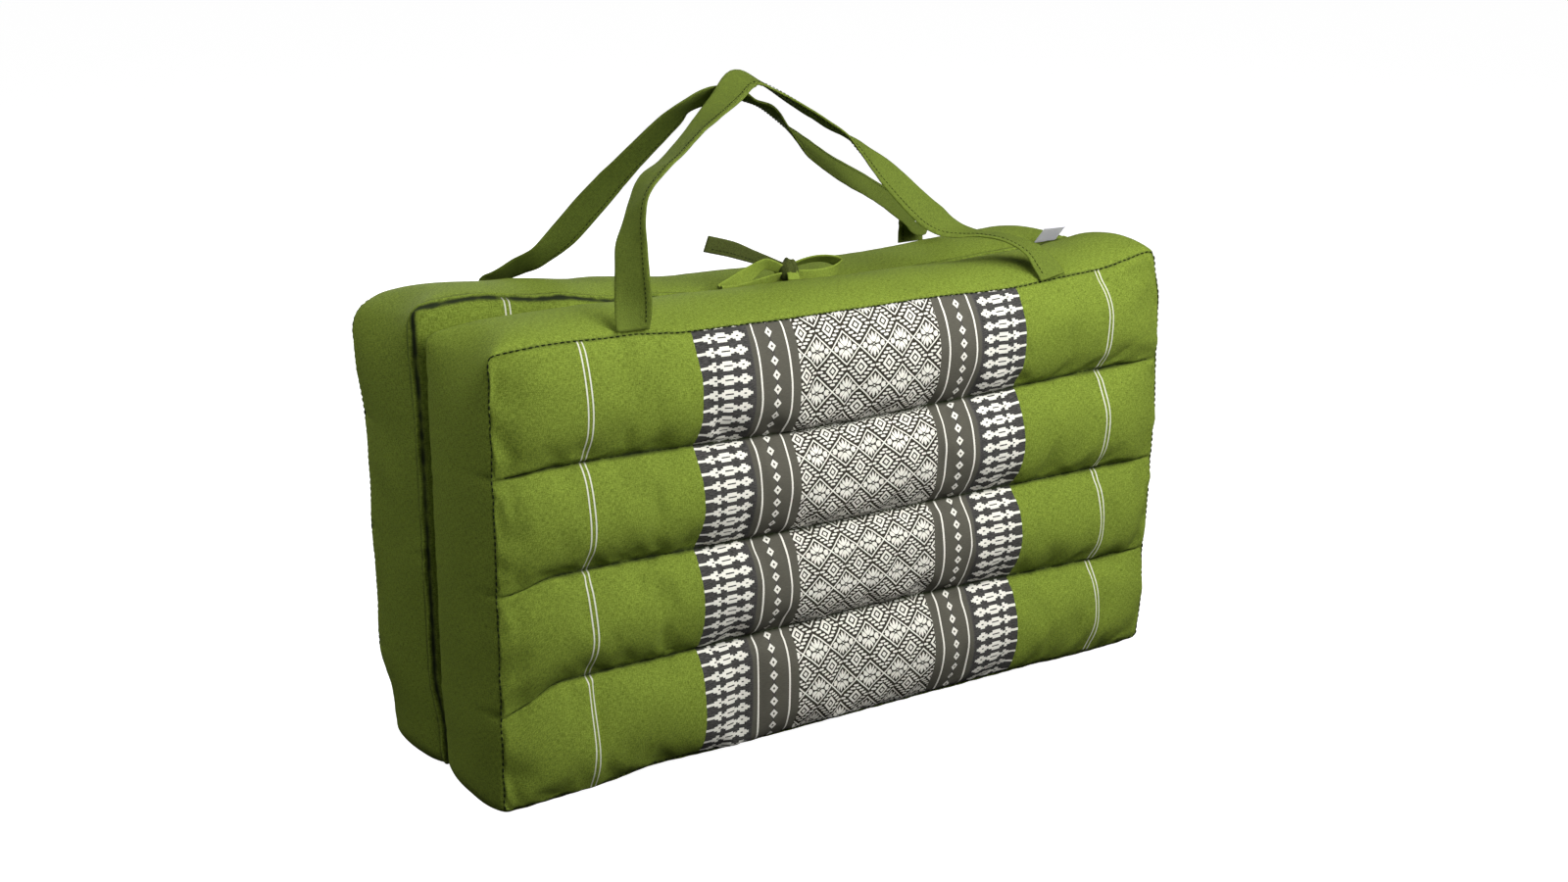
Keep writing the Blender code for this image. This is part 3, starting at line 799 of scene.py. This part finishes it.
def hollow(place, back, seed):
    """How much painted shade a point of the skin gets in and beside a sewn line, from 0 to 1, where the
    cloth is darkened.
    """
    u, v, w = place
    to_end = LENGTH / 2 - abs(u)
    to_top = HEIGHT - w
    uneven = 1 + UNEVEN_SHADE * lumps(u + w, u - w, UNEVEN_SHADE_SIZE, seed + 4)
    if v < CLOSE:
        found = OUTER_SHADE * bell(min(to_end, to_top, w), OUTER_SHADE_WIDTH)
        groove = nearest_groove(w)
        if groove:
            sewn = clamped((to_end - GROOVE_SHADE_END) / GROOVE_SHADE_FADE)
            found = max(found, GROOVE_SHADE * sewn * bell(w - groove, GROOVE_SHADE_WIDTH))
        return clamped(found * uneven)
    on_inner_face = v > DEPTH - CLOSE
    away = min(to_end, to_top) if on_inner_face else DEPTH - v
    share, face_width, border_width = BACK_INNER_SHADE if back else FRONT_INNER_SHADE
    found = share * bell(away, (face_width if on_inner_face else border_width) * MM)
    if back and not on_inner_face:
        found = max(found, WELT_SHADE * bell(away - WELT_SHADE_PLACE, WELT_SHADE_WIDTH))
    return clamped(max(found, OUTER_SHADE * bell(v, OUTER_SHADE_WIDTH)) * uneven)


def add_detail(piece, back):
    seed = BACK_SEED if back else FRONT_SEED
    mesh = piece.data
    # Each point also keeps how much painted shade it gets in and beside the sewn lines
    mesh.attributes.new("hollow", "FLOAT", "POINT")
    kept = mesh.attributes["plain"].data
    seam_painted_shades = mesh.attributes["hollow"].data
    moves = []
    for vertex in mesh.vertices:
        place = kept[vertex.index].vector
        moves.append(vertex.normal * sewn_detail(place, back, seed))
        seam_painted_shades[vertex.index].value = hollow(place, back, seed)
    for vertex, move in zip(mesh.vertices, moves):
        vertex.co += move
        vertex.co.z = max(0.0, vertex.co.z)
    mesh.update()


def block(name, node, back, materials):
    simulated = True
    piece, plain, index, cuts = skin(name, back, UNFILLED if simulated else 1.0)
    if simulated:
        fill(piece, plain)
    measure_cloth(piece, index, cuts)
    smoothed(piece)
    add_detail(piece, back)
    for material in materials:
        piece.data.materials.append(material)
    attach(piece, "root")
    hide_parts(node)
    return piece


# Stitches


def bead(shape, start, end, width):
    """One stitch: a short thread between two points."""
    along = end - start
    side = along.orthogonal().normalized() * width / 2
    other = along.cross(side).normalized() * width / 2
    tips = [shape.verts.new(start), shape.verts.new(end)]
    rings = []
    for share in (STITCH_SHOULDER, 1 - STITCH_SHOULDER):
        centre = start + along * share
        rings.append([shape.verts.new(centre + d) for d in (side, other, -side, -other)])
    for k in range(4):
        n = (k + 1) % 4
        shape.faces.new((tips[0], rings[0][n], rings[0][k]))
        shape.faces.new((rings[0][k], rings[0][n], rings[1][n], rings[1][k]))
        shape.faces.new((tips[1], rings[1][k], rings[1][n]))


def stitch_line(shape, points, lifts, sizes):
    """Stitches at an even pitch along a line of points, each lifted a little along its own direction."""
    pitch, length, width = (size * MM for size in sizes)
    travelled, wanted = 0.0, pitch / 2
    for a, b, up_a, up_b in zip(points, points[1:], lifts, lifts[1:]):
        step = (b - a).length
        while step > 0 and travelled + step >= wanted:
            share = (wanted - travelled) / step
            middle = a.lerp(b, share) + up_a.lerp(up_b, share)
            half = (b - a).normalized() * length / 2
            bead(shape, middle - half, middle + half, width)
            wanted += pitch
        travelled += step


def finished_piece(shape, name, material):
    mesh = bpy.data.meshes.new(name)
    bmesh.ops.recalc_face_normals(shape, faces=shape.faces[:])
    shape.to_mesh(mesh)
    shape.free()
    mesh.materials.append(material)
    mesh.shade_smooth()
    return linked(name, mesh)


def seam_stitches(name, skin_piece, material):
    """The dark stitches along the outer seams and the grooves of a block, on its skin's own points."""
    kept = skin_piece.data.attributes["plain"].data
    runs = {}
    for vertex in skin_piece.data.vertices:
        place = u, v, w = kept[vertex.index].vector
        if v > CLOSE:
            continue
        if on_levels(place):
            runs.setdefault(("level", w > HEIGHT / 2), []).append((u, vertex))
        if on_ends(place):
            runs.setdefault(("end", u > 0), []).append((w, vertex))
        groove = nearest_groove(w)
        if groove and abs(w - groove) < CLOSE and abs(u) < LENGTH / 2 - GROOVE_STITCH_END:
            runs.setdefault(("groove", groove), []).append((u, vertex))
    shape = bmesh.new()
    for (kind, _), run in runs.items():
        run.sort(key=lambda found: found[0])
        points = [vertex.co.copy() for _, vertex in run]
        lifts = [vertex.normal * SEAM_STITCH_LIFT for _, vertex in run]
        stitch_line(shape, points, lifts, GROOVE_STITCH if kind == "groove" else SEAM_STITCH)
    piece = finished_piece(shape, name, material)
    piece.parent = skin_piece


# Straps and ties


def between(rows, place):
    """A smooth curve through the rows of a table, read at a place counted in rows."""
    last = len(rows) - 1
    i = min(last - 1, int(place))
    t = place - i
    a, b, c, d = (rows[max(0, min(last, k))] for k in (i - 1, i, i + 1, i + 2))
    curve = []
    for p, q, r, s in zip(a, b, c, d):
        square = (2 * p - 5 * q + 4 * r - s) * t * t
        cube = (3 * q - p - 3 * r + s) * t**3
        curve.append((2 * q + (r - p) * t + square + cube) / 2)
    return curve


def frames_along(rows, width, steps):
    """The middle, the direction across, the direction out and the width at even steps along a route."""
    spans = (len(rows) - 1) * steps
    frames, travelled, previous = [], 0.0, None
    for k in range(spans + 1):
        place = k / steps
        row = between(rows, place)
        ahead = Vector(between(rows, min(len(rows) - 1.0, place + ROUTE_NUDGE))[:3])
        behind = Vector(between(rows, max(0.0, place - ROUTE_NUDGE))[:3])
        along = (ahead - behind).normalized()
        across = Vector(row[3:6])
        across = (across - along * across.dot(along)).normalized()
        middle = Vector(row[:3]) * MM + Vector((MIDDLE_X, FOLD_Y, 0.0))
        if previous is not None:
            travelled += (middle - previous).length
        previous = middle
        wide = row[6] * MM if len(row) > 6 else width
        frames.append((middle, across, across.cross(along), wide, travelled))
    return frames


def band_profile(a, thickness, hem):
    """Half the thickness of a hemmed band at a place across it, with a from -1 to 1."""
    edge = math.sqrt(max(0.0, 1 - abs(a) ** BAND_EDGE_POWER))
    ridge = 1 + hem * bell(abs(a) - HEM_PLACE, HEM_WIDTH)
    return thickness / 2 * edge * ridge


def strip(name, rows, width, thickness, material, steps=6, across=14, hem=0.3, ruffle=0.5, seed=1.0):
    """A hemmed band of cloth along a route, as one closed skin with its own small waves."""
    frames = frames_along(rows, width, steps)
    shape = bmesh.new()
    cloth_map = shape.loops.layers.uv.new("cloth")
    rings = []
    for middle, side, out, wide, travelled in frames:
        upper, lower = [], []
        edge = noise_at(travelled / EDGE_WAVE_LENGTH, seed, 4.0) * EDGE_WAVE
        for k in range(across + 1):
            a = -math.cos(math.pi * k / across)
            wave = noise_at(travelled / RUFFLE_LENGTH, a * RUFFLE_ACROSS, seed)
            wave *= ruffle * MM * (RUFFLE_MIDDLE + (1 - RUFFLE_MIDDLE) * a * a)
            here = middle + side * (a * wide / 2 + edge) + out * wave
            half = band_profile(a, thickness, hem)
            upper.append((here + out * half, a * wide / 2, travelled))
            if 0 < k < across:
                lower.append((here - out * half, a * wide / 2, travelled))
        rings.append(upper + lower[::-1])
    made = [[shape.verts.new(point) for point, _, _ in ring] for ring in rings]
    count = len(rings[0])
    for i in range(len(rings) - 1):
        for k in range(count):
            n = (k + 1) % count
            corners = ((i, k), (i, n), (i + 1, n), (i + 1, k))
            face = shape.faces.new([made[a][b] for a, b in corners])
            for loop, (a, b) in zip(face.loops, corners):
                loop[cloth_map].uv = rings[a][b][1:]
    for cap in (made[0], made[-1]):
        for k in range(1, across - 1):
            shape.faces.new((cap[k], cap[k + 1], cap[-k - 1], cap[-k]))
        shape.faces.new((cap[across - 1], cap[across], cap[1 - across]))
        shape.faces.new((cap[0], cap[1], cap[-1]))
    return finished_piece(shape, name, material), frames


def band_stitches(name, strip_piece, frames, offset, material, thickness):
    """A stitch line along a band, on both of its sides. The offset is a share of half the width."""
    shape = bmesh.new()
    for facing in (1, -1):
        points, lifts = [], []
        for middle, side, out, wide, _ in frames[2:-2]:
            points.append(middle + side * (offset * wide / 2))
            lifts.append(out * (facing * (thickness / 2 + BAND_STITCH_LIFT)))
        stitch_line(shape, points, lifts, BAND_STITCH)
    piece = finished_piece(shape, name, material)
    piece.parent = strip_piece
    return piece


# Materials


class Value:
    """The output of a node. Arithmetic and comparisons with it add further nodes."""

    def __init__(self, graph, socket):
        self.graph = graph
        self.socket = socket

    def __add__(self, other):
        return self.graph.math("ADD", self, other)

    def __sub__(self, other):
        return self.graph.math("SUBTRACT", self, other)

    def __rsub__(self, other):
        return self.graph.math("SUBTRACT", other, self)

    def __mul__(self, other):
        return self.graph.math("MULTIPLY", self, other)

    def __truediv__(self, other):
        return self.graph.math("DIVIDE", self, other)

    def __mod__(self, other):
        return self.graph.math("MODULO", self, other)

    def __lt__(self, other):
        return self.graph.math("LESS_THAN", self, other)

    def __gt__(self, other):
        return self.graph.math("GREATER_THAN", self, other)

    def __abs__(self):
        return self.graph.math("ABSOLUTE", self)


class Graph:
    """The nodes of one material."""

    def __init__(self, name):
        self.material = bpy.data.materials.new(name)
        self.material.use_nodes = True
        self.nodes = self.material.node_tree.nodes
        self.links = self.material.node_tree.links
        self.shader = self.nodes["Principled BSDF"]

    def feed(self, socket, value):
        if isinstance(value, Value):
            self.links.new(value.socket, socket)
        elif isinstance(value, tuple) and len(value) < len(socket.default_value):
            socket.default_value = (*value, 1.0)
        else:
            socket.default_value = value

    def node(self, kind, inputs, out=0, **settings):
        """One of the outputs of a new node with these inputs and settings."""
        made = self.nodes.new("ShaderNode" + kind)
        for setting, value in settings.items():
            setattr(made, setting, value)
        for place, value in inputs.items():
            self.feed(made.inputs[place], value)
        return Value(self, made.outputs[out])

    def math(self, operation, *values):
        return self.node("Math", dict(enumerate(values)), operation=operation)

    def mix(self, share, first, second):
        return self.node("Mix", {0: share, 6: first, 7: second}, out=2, data_type="RGBA")

    def scaled(self, colour, share):
        """The colour times a number."""
        return self.node("VectorMath", {0: colour, "Scale": share}, operation="SCALE")

    def combine(self, x, y):
        return self.node("CombineXYZ", {0: x, 1: y})

    def noise(self, vector, scale, detail=2.0, roughness=0.5):
        inputs = {"Vector": vector, "Scale": scale, "Detail": detail, "Roughness": roughness}
        return self.node("TexNoise", inputs, out="Fac")

    def ramp(self, value, low, high):
        """The value carried from low..high to 0..1, smoothly."""
        inputs = {"Value": value, "From Min": low, "From Max": high}
        return self.node("MapRange", inputs, out="Result", interpolation_type="SMOOTHSTEP")

    def wave(self, value, pitch):
        return self.math("SINE", value * (2 * math.pi / pitch))

    def cloth_place(self):
        """The place on the flat cloth, in millimetres: along and up."""
        place = self.node("UVMap", {}, uv_map="cloth")
        return [self.node("SeparateXYZ", {0: place}, out=axis) * 1000.0 for axis in (0, 1)]

    def object_place(self):
        return self.node("TexCoord", {}, out="Object")

    def bump(self, height, distance, strength):
        inputs = {"Strength": strength, "Distance": distance, "Height": height}
        return self.node("Bump", inputs)

    def surface(self, inputs):
        """The material, with these inputs of its shader."""
        for place, value in inputs.items():
            self.feed(self.shader.inputs[place], value)
        return self.material

    def chart(self, rows, column, row):
        """Whether a drawn chart has a thread at this place. Each row is kept as three fractions."""
        codes = self.nodes.new("ShaderNodeValToRGB")
        codes.color_ramp.interpolation = "CONSTANT"
        stops = codes.color_ramp.elements
        for number, signs in enumerate(rows):
            place = number / len(rows)
            stop = stops[number] if number < 2 else stops.new(place)
            stop.position = place
            starts = range(0, 3 * CHART_COLUMNS, CHART_COLUMNS)
            parts = [chart_code(signs[start : start + CHART_COLUMNS]) for start in starts]
            stop.color = (*parts, 1.0)
        self.feed(codes.inputs["Fac"], row / float(len(rows)))
        colour = Value(self, codes.outputs["Color"])
        third = self.math("FLOOR", column / float(CHART_COLUMNS))
        chosen = [
            self.node("SeparateColor", {0: colour}, out=number) * within(third, number - 0.5, number + 0.5)
            for number in range(3)
        ]
        code = chosen[0] + chosen[1] + chosen[2]
        place = self.math("FLOOR", column) % float(CHART_COLUMNS)
        shifted = code * self.math("POWER", 2.0, place + 1.0)
        return self.math("FLOOR", shifted) % 2.0


def chart_code(signs):
    """Part of a chart's row as a binary fraction, with a little over so that rounding does no harm."""
    code = sum(0.5 ** (place + 1) for place, sign in enumerate(signs) if sign == "#")
    return code + 0.5 ** (CHART_COLUMNS + 2)


def within(value, low, high):
    return (value > low) * (value < high)


def either(*masks):
    found = masks[0]
    for mask in masks[1:]:
        found = found.graph.math("MAXIMUM", found, mask)
    return found


def line_at(x, place, width):
    return abs(x - place) < width / 2


def diamond(x, half_width, y, half_height):
    """1 on the outline of a diamond of this size, less inside it."""
    return x / half_width + y / half_height


def green_weave(graph, x, y, light, deep):
    """Colour and height of the heathered plain weave, with slubs and dark flecks."""
    place = graph.combine(x, y)
    along = graph.noise(graph.combine(x * SLUB_ALONG, y * SLUB_ACROSS), 1.0, 3.0, 0.65)
    up = graph.noise(graph.combine(x * SLUB_ACROSS, y * SLUB_ALONG), 1.0, 3.0, 0.65)
    cloudy = graph.noise(place, 0.022, 3.0, 0.6)
    specks = graph.noise(place, 1.2, 1.0)
    flecks = graph.ramp(graph.noise(graph.combine(x * 0.7, y), 0.85, 1.0), 0.70, 0.76)
    weave = graph.wave(x, THREAD_PITCH) * graph.wave(y, THREAD_PITCH)
    threads = along + up
    share = graph.ramp(threads + specks * 0.5 - 0.25 + weave * 0.10, 0.72, 1.28)
    colour = graph.scaled(graph.mix(share, deep, light), cloudy * 0.24 + 0.88)
    return graph.mix(flecks * 0.6, colour, THREAD_AND_SHADE_DARK), weave * 0.5 + threads


def cloth_surface(graph, colour, height, depth):
    """A dull cloth with raised threads, darkened in its sewn lines by painted shade."""
    seam_painted_share = graph.node("Attribute", {}, out="Fac", attribute_name="hollow")
    return graph.surface({
        "Base Color": graph.mix(seam_painted_share, colour, THREAD_AND_SHADE_DARK),
        "Roughness": 0.88,
        "Specular IOR Level": 0.12,
        "Normal": graph.bump(height, depth, 0.8),
    })


def plain_cloth(name, light, deep):
    graph = Graph(name)
    colour, height = green_weave(graph, *graph.cloth_place(), light, deep)
    return cloth_surface(graph, colour, height, PLAIN_RELIEF)


def lattice(graph, x, y):
    """The white threads of the middle field: stars and nested diamonds in a slanting lattice."""
    from_star_x = graph.math("PINGPONG", x, CELL_HALF_WIDTH)
    from_star_y = graph.math("PINGPONG", y, CELL_HALF_HEIGHT)
    from_ring_x = CELL_HALF_WIDTH - from_star_x
    from_ring_y = CELL_HALF_HEIGHT - from_star_y

    row = from_star_y / STAR_PITCH[1]
    star = graph.chart(STAR_CHART, from_star_x / STAR_PITCH[0], row) * (row < float(len(STAR_CHART)))
    from_bars = diamond(from_star_x, BARS_SIZE[0], from_star_y, BARS_SIZE[1])
    bars = within(from_bars, BARS_INSIDE, BARS_OUTSIDE)
    from_diamond = diamond(from_ring_x, RING_SIZE[0], from_ring_y, RING_SIZE[1])
    ring = within(from_diamond, RING_INSIDE, 1.0)

    level = graph.math("ROUND", from_ring_y / BEAD_PITCH) * BEAD_PITCH
    off = abs(from_ring_y - level)
    side = abs(from_ring_x - (level * BEAD_SLANT + BEAD_START))
    beads = diamond(side, BEAD_SIZE[0], off, BEAD_SIZE[1]) < 1.0
    beads = beads * (off < BEAD_HALF_ROW) * (level < BEADS_END) * (from_diamond > BEADS_CLEAR)
    return either(star, bars, from_diamond < RING_CENTRE, ring, beads)


def patterned_cloth(name):
    """The face cloth: green ends with a pair of fine lines, and the woven band between them."""
    graph = Graph(name)
    x, y = graph.cloth_place()
    green, height = green_weave(graph, x, y, LEAF_GREEN, DEEP_GREEN)
    wander = (graph.noise(graph.combine(x, y), 0.9, 2.0) - 0.5) * THREAD_WANDER
    across = x - BAND_MIDDLE + wander
    away = abs(across)
    up = y + wander
    in_band = away < BAND_HALF
    in_field = away < LATTICE_HALF

    # White threads
    field = lattice(graph, across - LATTICE_SHIFT, up - STARS_START) * in_field
    lines = either(line_at(away, FIRST_LINE, LINE_WIDTH), line_at(away, SECOND_LINE, LINE_WIDTH))
    in_row = graph.math("PINGPONG", up - TEETH_START, ROW_PITCH / 2)
    side = abs(away - SMALL_DIAMONDS)
    from_small = diamond(side, SMALL_SIZE[0], in_row, SMALL_SIZE[1])
    small = within(from_small, SMALL_INSIDE, 1.0)
    tips = within(from_small, 1.0, TIPS_REACH) * (side < TIPS_HALF)
    row = in_row / (ROW_PITCH / 2 / len(COMB_CHART) * TOOTH_HEIGHT)
    comb = graph.chart(COMB_CHART, away - COMB_START, row) * within(away, COMB_START, BAND_HALF)
    white = either(field, lines, small, comb)
    pair = either(within(abs(x - LEFT_LINES), 1.3, 2.4), within(abs(x - RIGHT_LINES), 1.1, 2.1))

    # Grounds
    streaks = graph.noise(graph.combine(x * 0.25, y * 2.2), 1.0, 3.0, 0.65)
    uneven = streaks * 0.8 + 0.6
    grey = graph.mix(tips * 0.7, graph.scaled(WARM_GREY, uneven), CHARCOAL)
    coal = graph.scaled(CHARCOAL, graph.ramp(streaks, 0.35, 0.75) * 1.6 + 0.5)
    ragged = (streaks - 0.5) * RAGGED_EDGE + away
    ground = graph.mix(ragged > COMB_START + 1.0, grey, coal)
    ground = graph.mix(in_field, ground, graph.scaled(LATTICE_DARK, uneven))

    cream = graph.scaled(CREAM, streaks * 0.35 + 0.80)
    band = graph.mix(white, ground, cream)
    green = graph.mix(pair * 0.72, green, cream)
    colour = graph.mix(in_band, green, band)
    return cloth_surface(graph, colour, height + white * in_band * 0.9, PATTERN_RELIEF)


def thread_material(name, colour):
    graph = Graph(name)
    twist = graph.noise(graph.object_place(), 2200.0, 1.0)
    return graph.surface({
        "Base Color": graph.scaled(colour, twist * 0.8 + 0.6),
        "Roughness": 0.9,
        "Specular IOR Level": 0.05,
        "Normal": graph.bump(twist, 0.1 * MM, 0.5),
    })


def satin_material(name):
    graph = Graph(name)
    x, y = graph.cloth_place()
    ribs = graph.wave(y, SATIN_PITCH)
    soft = graph.noise(graph.combine(x, y), 0.35, 2.0)
    return graph.surface({
        "Base Color": graph.scaled(SATIN_WHITE, ribs * 0.02 + 0.9 + soft * 0.12),
        "Roughness": 0.38,
        "Sheen Weight": 0.2,
        "Normal": graph.bump(ribs, 0.06 * MM, 0.5),
    })


def floor_material():
    graph = Graph("pale floor")
    grain = graph.noise(graph.object_place(), 60.0, 3.0)
    return graph.surface({
        "Base Color": graph.scaled(FLOOR_GREY, grain * 0.02 + 0.98),
        "Roughness": 0.9,
        "Emission Color": (1.0, 1.0, 1.0, 1.0),
        "Emission Strength": FLOOR_GLOW,
    })


# Assembly


def strap(name, node, rows, offset, materials):
    cloth, thread = materials
    piece, frames = strip(name, rows, STRAP_WIDTH, STRAP_THICK, cloth, seed=float(len(rows)))
    stitches = band_stitches(name + "_stitches", piece, frames, offset, thread, STRAP_THICK * 1.2)
    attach(piece, "root")
    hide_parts(node)


def root_rows(rows, back):
    top = top_seam(KNOT_CENTRE[0] * MM, 1.0, back) / MM
    seam_y = stand_off(KNOT_CENTRE[0] * MM, top * MM) / MM if back else 0.0
    return [(x, seam_y + y, top + z, 1, 0, 0, wide) for x, y, z, wide in rows]


def tie(name, rows, cloth, node=None):
    piece, frames = strip(name, rows, TIE_WIDTH, TIE_THICK, cloth, across=10, hem=0.2, ruffle=0.3, seed=3.0)
    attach(piece, "root")
    if node:
        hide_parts(node)
    wide = sum(frame[3] for frame in frames) / len(frames)
    return piece, frames


def knot(name, cloth):
    """The knot: bands of the tie wrapped round each other."""
    shape = bmesh.new()
    cloth_map = shape.loops.layers.uv.new("cloth")
    bmesh.ops.create_uvsphere(shape, u_segments=48, v_segments=32, radius=0.5)
    centre = Vector(KNOT_CENTRE) * MM + Vector((MIDDLE_X, FOLD_Y, 0.0))
    for vertex in shape.verts:
        x, y, z = vertex.co
        turn = math.atan2(z, y)
        fold = 0.10 * math.sin(16 * x + 2 * turn) + 0.05 * math.sin(31 * x - turn)
        pinch = 1 + fold * (1 - 4 * x * x)
        vertex.co = [
            centre[0] + x * KNOT_SIZE[0] * MM,
            centre[1] + y * KNOT_SIZE[1] * MM * pinch,
            centre[2] + z * KNOT_SIZE[2] * MM * pinch,
        ]
    for face in shape.faces:
        for loop in face.loops:
            co = loop.vert.co - centre
            loop[cloth_map].uv = (co.x, math.atan2(co.z, co.y) * 0.007)
    return finished_piece(shape, name, cloth)


def bow(cloth, painted_shade_cloth, thread):
    """The bow: two loops, the free end and the knot, the last two in a darker green that is painted shade.
    """
    tie("bow_left_loop", BOW_LEFT_LOOP, cloth, node="tie_bow")
    tie("bow_right_loop", BOW_RIGHT_LOOP, cloth)
    free_end, frames = tie("bow_free_end", BOW_FREE_END, painted_shade_cloth)
    band_stitches("bow_free_end_stitches", free_end, frames, -0.45, thread, TIE_THICK)
    centre = knot("bow_knot", painted_shade_cloth)
    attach(centre, "root")


def hinge(cloth):
    spans = 24
    step = HINGE_LENGTH / spans / MM
    rows = [((k - spans / 2) * step, 0, HINGE_RISE / MM, 0, 1, 0) for k in range(spans + 1)]
    sizes = (HINGE_WIDTH, HINGE_THICK)
    piece, _ = strip("fold_strip", rows, *sizes, cloth, steps=2, across=8, hem=0.0, ruffle=0.2)
    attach(piece, "root")
    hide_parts("fold_hinge")


def label(satin):
    top = top_seam(LABEL_X, 1.0, True) / MM
    seam_y = stand_off(LABEL_X, top * MM) / MM
    rows = [(LABEL_X / MM + x, seam_y + y, top + z, 1, 0, 0) for x, y, z in LABEL_ROWS]
    sizes = (LABEL_WIDTH, LABEL_THICK)
    piece, frames = strip("white_label", rows, *sizes, satin, steps=8, across=12, hem=0.1, ruffle=0.3)
    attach(piece, "root")
    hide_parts("blank_label")


def camera():
    made = linked("camera", bpy.data.cameras.new("camera"))
    made.data.lens = CAMERA_LENS
    made.data.sensor_width = 36
    made.data.clip_end = 50
    turn, rise = math.radians(CAMERA_TURN), math.radians(CAMERA_RISE)
    back = Vector((math.sin(turn) * math.cos(rise), -math.cos(turn) * math.cos(rise), math.sin(rise)))
    right = Vector((math.cos(turn), math.sin(turn), 0.0))
    upward = back.cross(right)
    axes = Matrix((right, upward, back)).transposed().to_4x4()
    made.matrix_world = Matrix.Translation(CAMERA_PLACE) @ axes
    bpy.context.scene.camera = made


def lamp(name, place, size, power):
    light = bpy.data.lights.new(name, "AREA")
    light.shape = "DISK"
    light.size = size
    light.energy = power
    made = linked(name, light)
    made.location = place
    made.rotation_euler = (Vector(LAMP_AIM) - Vector(place)).to_track_quat("-Z", "Y").to_euler()


def studio():
    """A plain pale floor and backdrop that shed no light on the mat, and soft lamps all round it."""
    pale = floor_material()
    bpy.ops.mesh.primitive_plane_add(size=24, location=(0, 0, 0))
    floor = bpy.context.object
    floor.name = "floor"
    bpy.ops.mesh.primitive_cylinder_add(
        vertices=96, radius=11, depth=16, end_fill_type="NOTHING", location=(0, 0, 7.9)
    )
    wall = bpy.context.object
    wall.name = "backdrop"
    for thing in (floor, wall):
        thing.data.materials.append(pale)
        thing.visible_diffuse = False
        thing.visible_glossy = False
    for settings in LAMPS:
        lamp(*settings)
    world = bpy.data.worlds.new("studio")
    bpy.context.scene.world = world
    world.use_nodes = True
    background = world.node_tree.nodes["Background"]
    background.inputs["Color"].default_value = (1.0, 1.0, 1.0, 1.0)
    background.inputs["Strength"].default_value = WORLD_GLOW
    bpy.context.scene.view_settings.view_transform = "Standard"


def main():
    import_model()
    camera()
    studio()
    face = patterned_cloth("green_face_cloth")
    border = plain_cloth("green_border_cloth", LEAF_GREEN, DEEP_GREEN)
    front_cloth = plain_cloth("front_strap_cloth", FRONT_STRAP_GREEN, darker(FRONT_STRAP_GREEN, 0.6))
    # The back strap's cloth is the darker copy, with painted shade
    back_strap_shaded = plain_cloth("back_strap_cloth", BACK_STRAP_SHADED_GREEN, darker(BACK_STRAP_SHADED_GREEN, 0.5))
    tie_cloth = plain_cloth("tie_cloth", LEAF_GREEN, darker(LEAF_GREEN, 0.6))
    tie_painted_shade = plain_cloth("tie_painted_shade_cloth", TIE_PAINTED_SHADE, darker(TIE_PAINTED_SHADE, 0.5))
    thread = thread_material("dark_thread", THREAD_AND_SHADE_DARK)
    satin = satin_material("white_satin")
    front = block("block_front_cloth", "block_front", False, (face, border))
    back = block("block_back_cloth", "block_back", True, (face, border))
    seam_stitches("block_front_stitches", front, thread)
    seam_stitches("block_back_stitches", back, thread)
    strap("front_strap_cloth", "strap_front", FRONT_STRAP, 0.68, (front_cloth, thread))
    strap("back_strap_cloth", "strap_back", BACK_STRAP, -0.68, (back_strap_shaded, thread))
    tie("front_tie", root_rows(FRONT_ROOT, False), tie_cloth, node="tie_front")
    tie("back_tie", root_rows(BACK_ROOT, True), tie_cloth, node="tie_back")
    bow(tie_cloth, tie_painted_shade, thread)
    hinge(border)
    label(satin)


main()
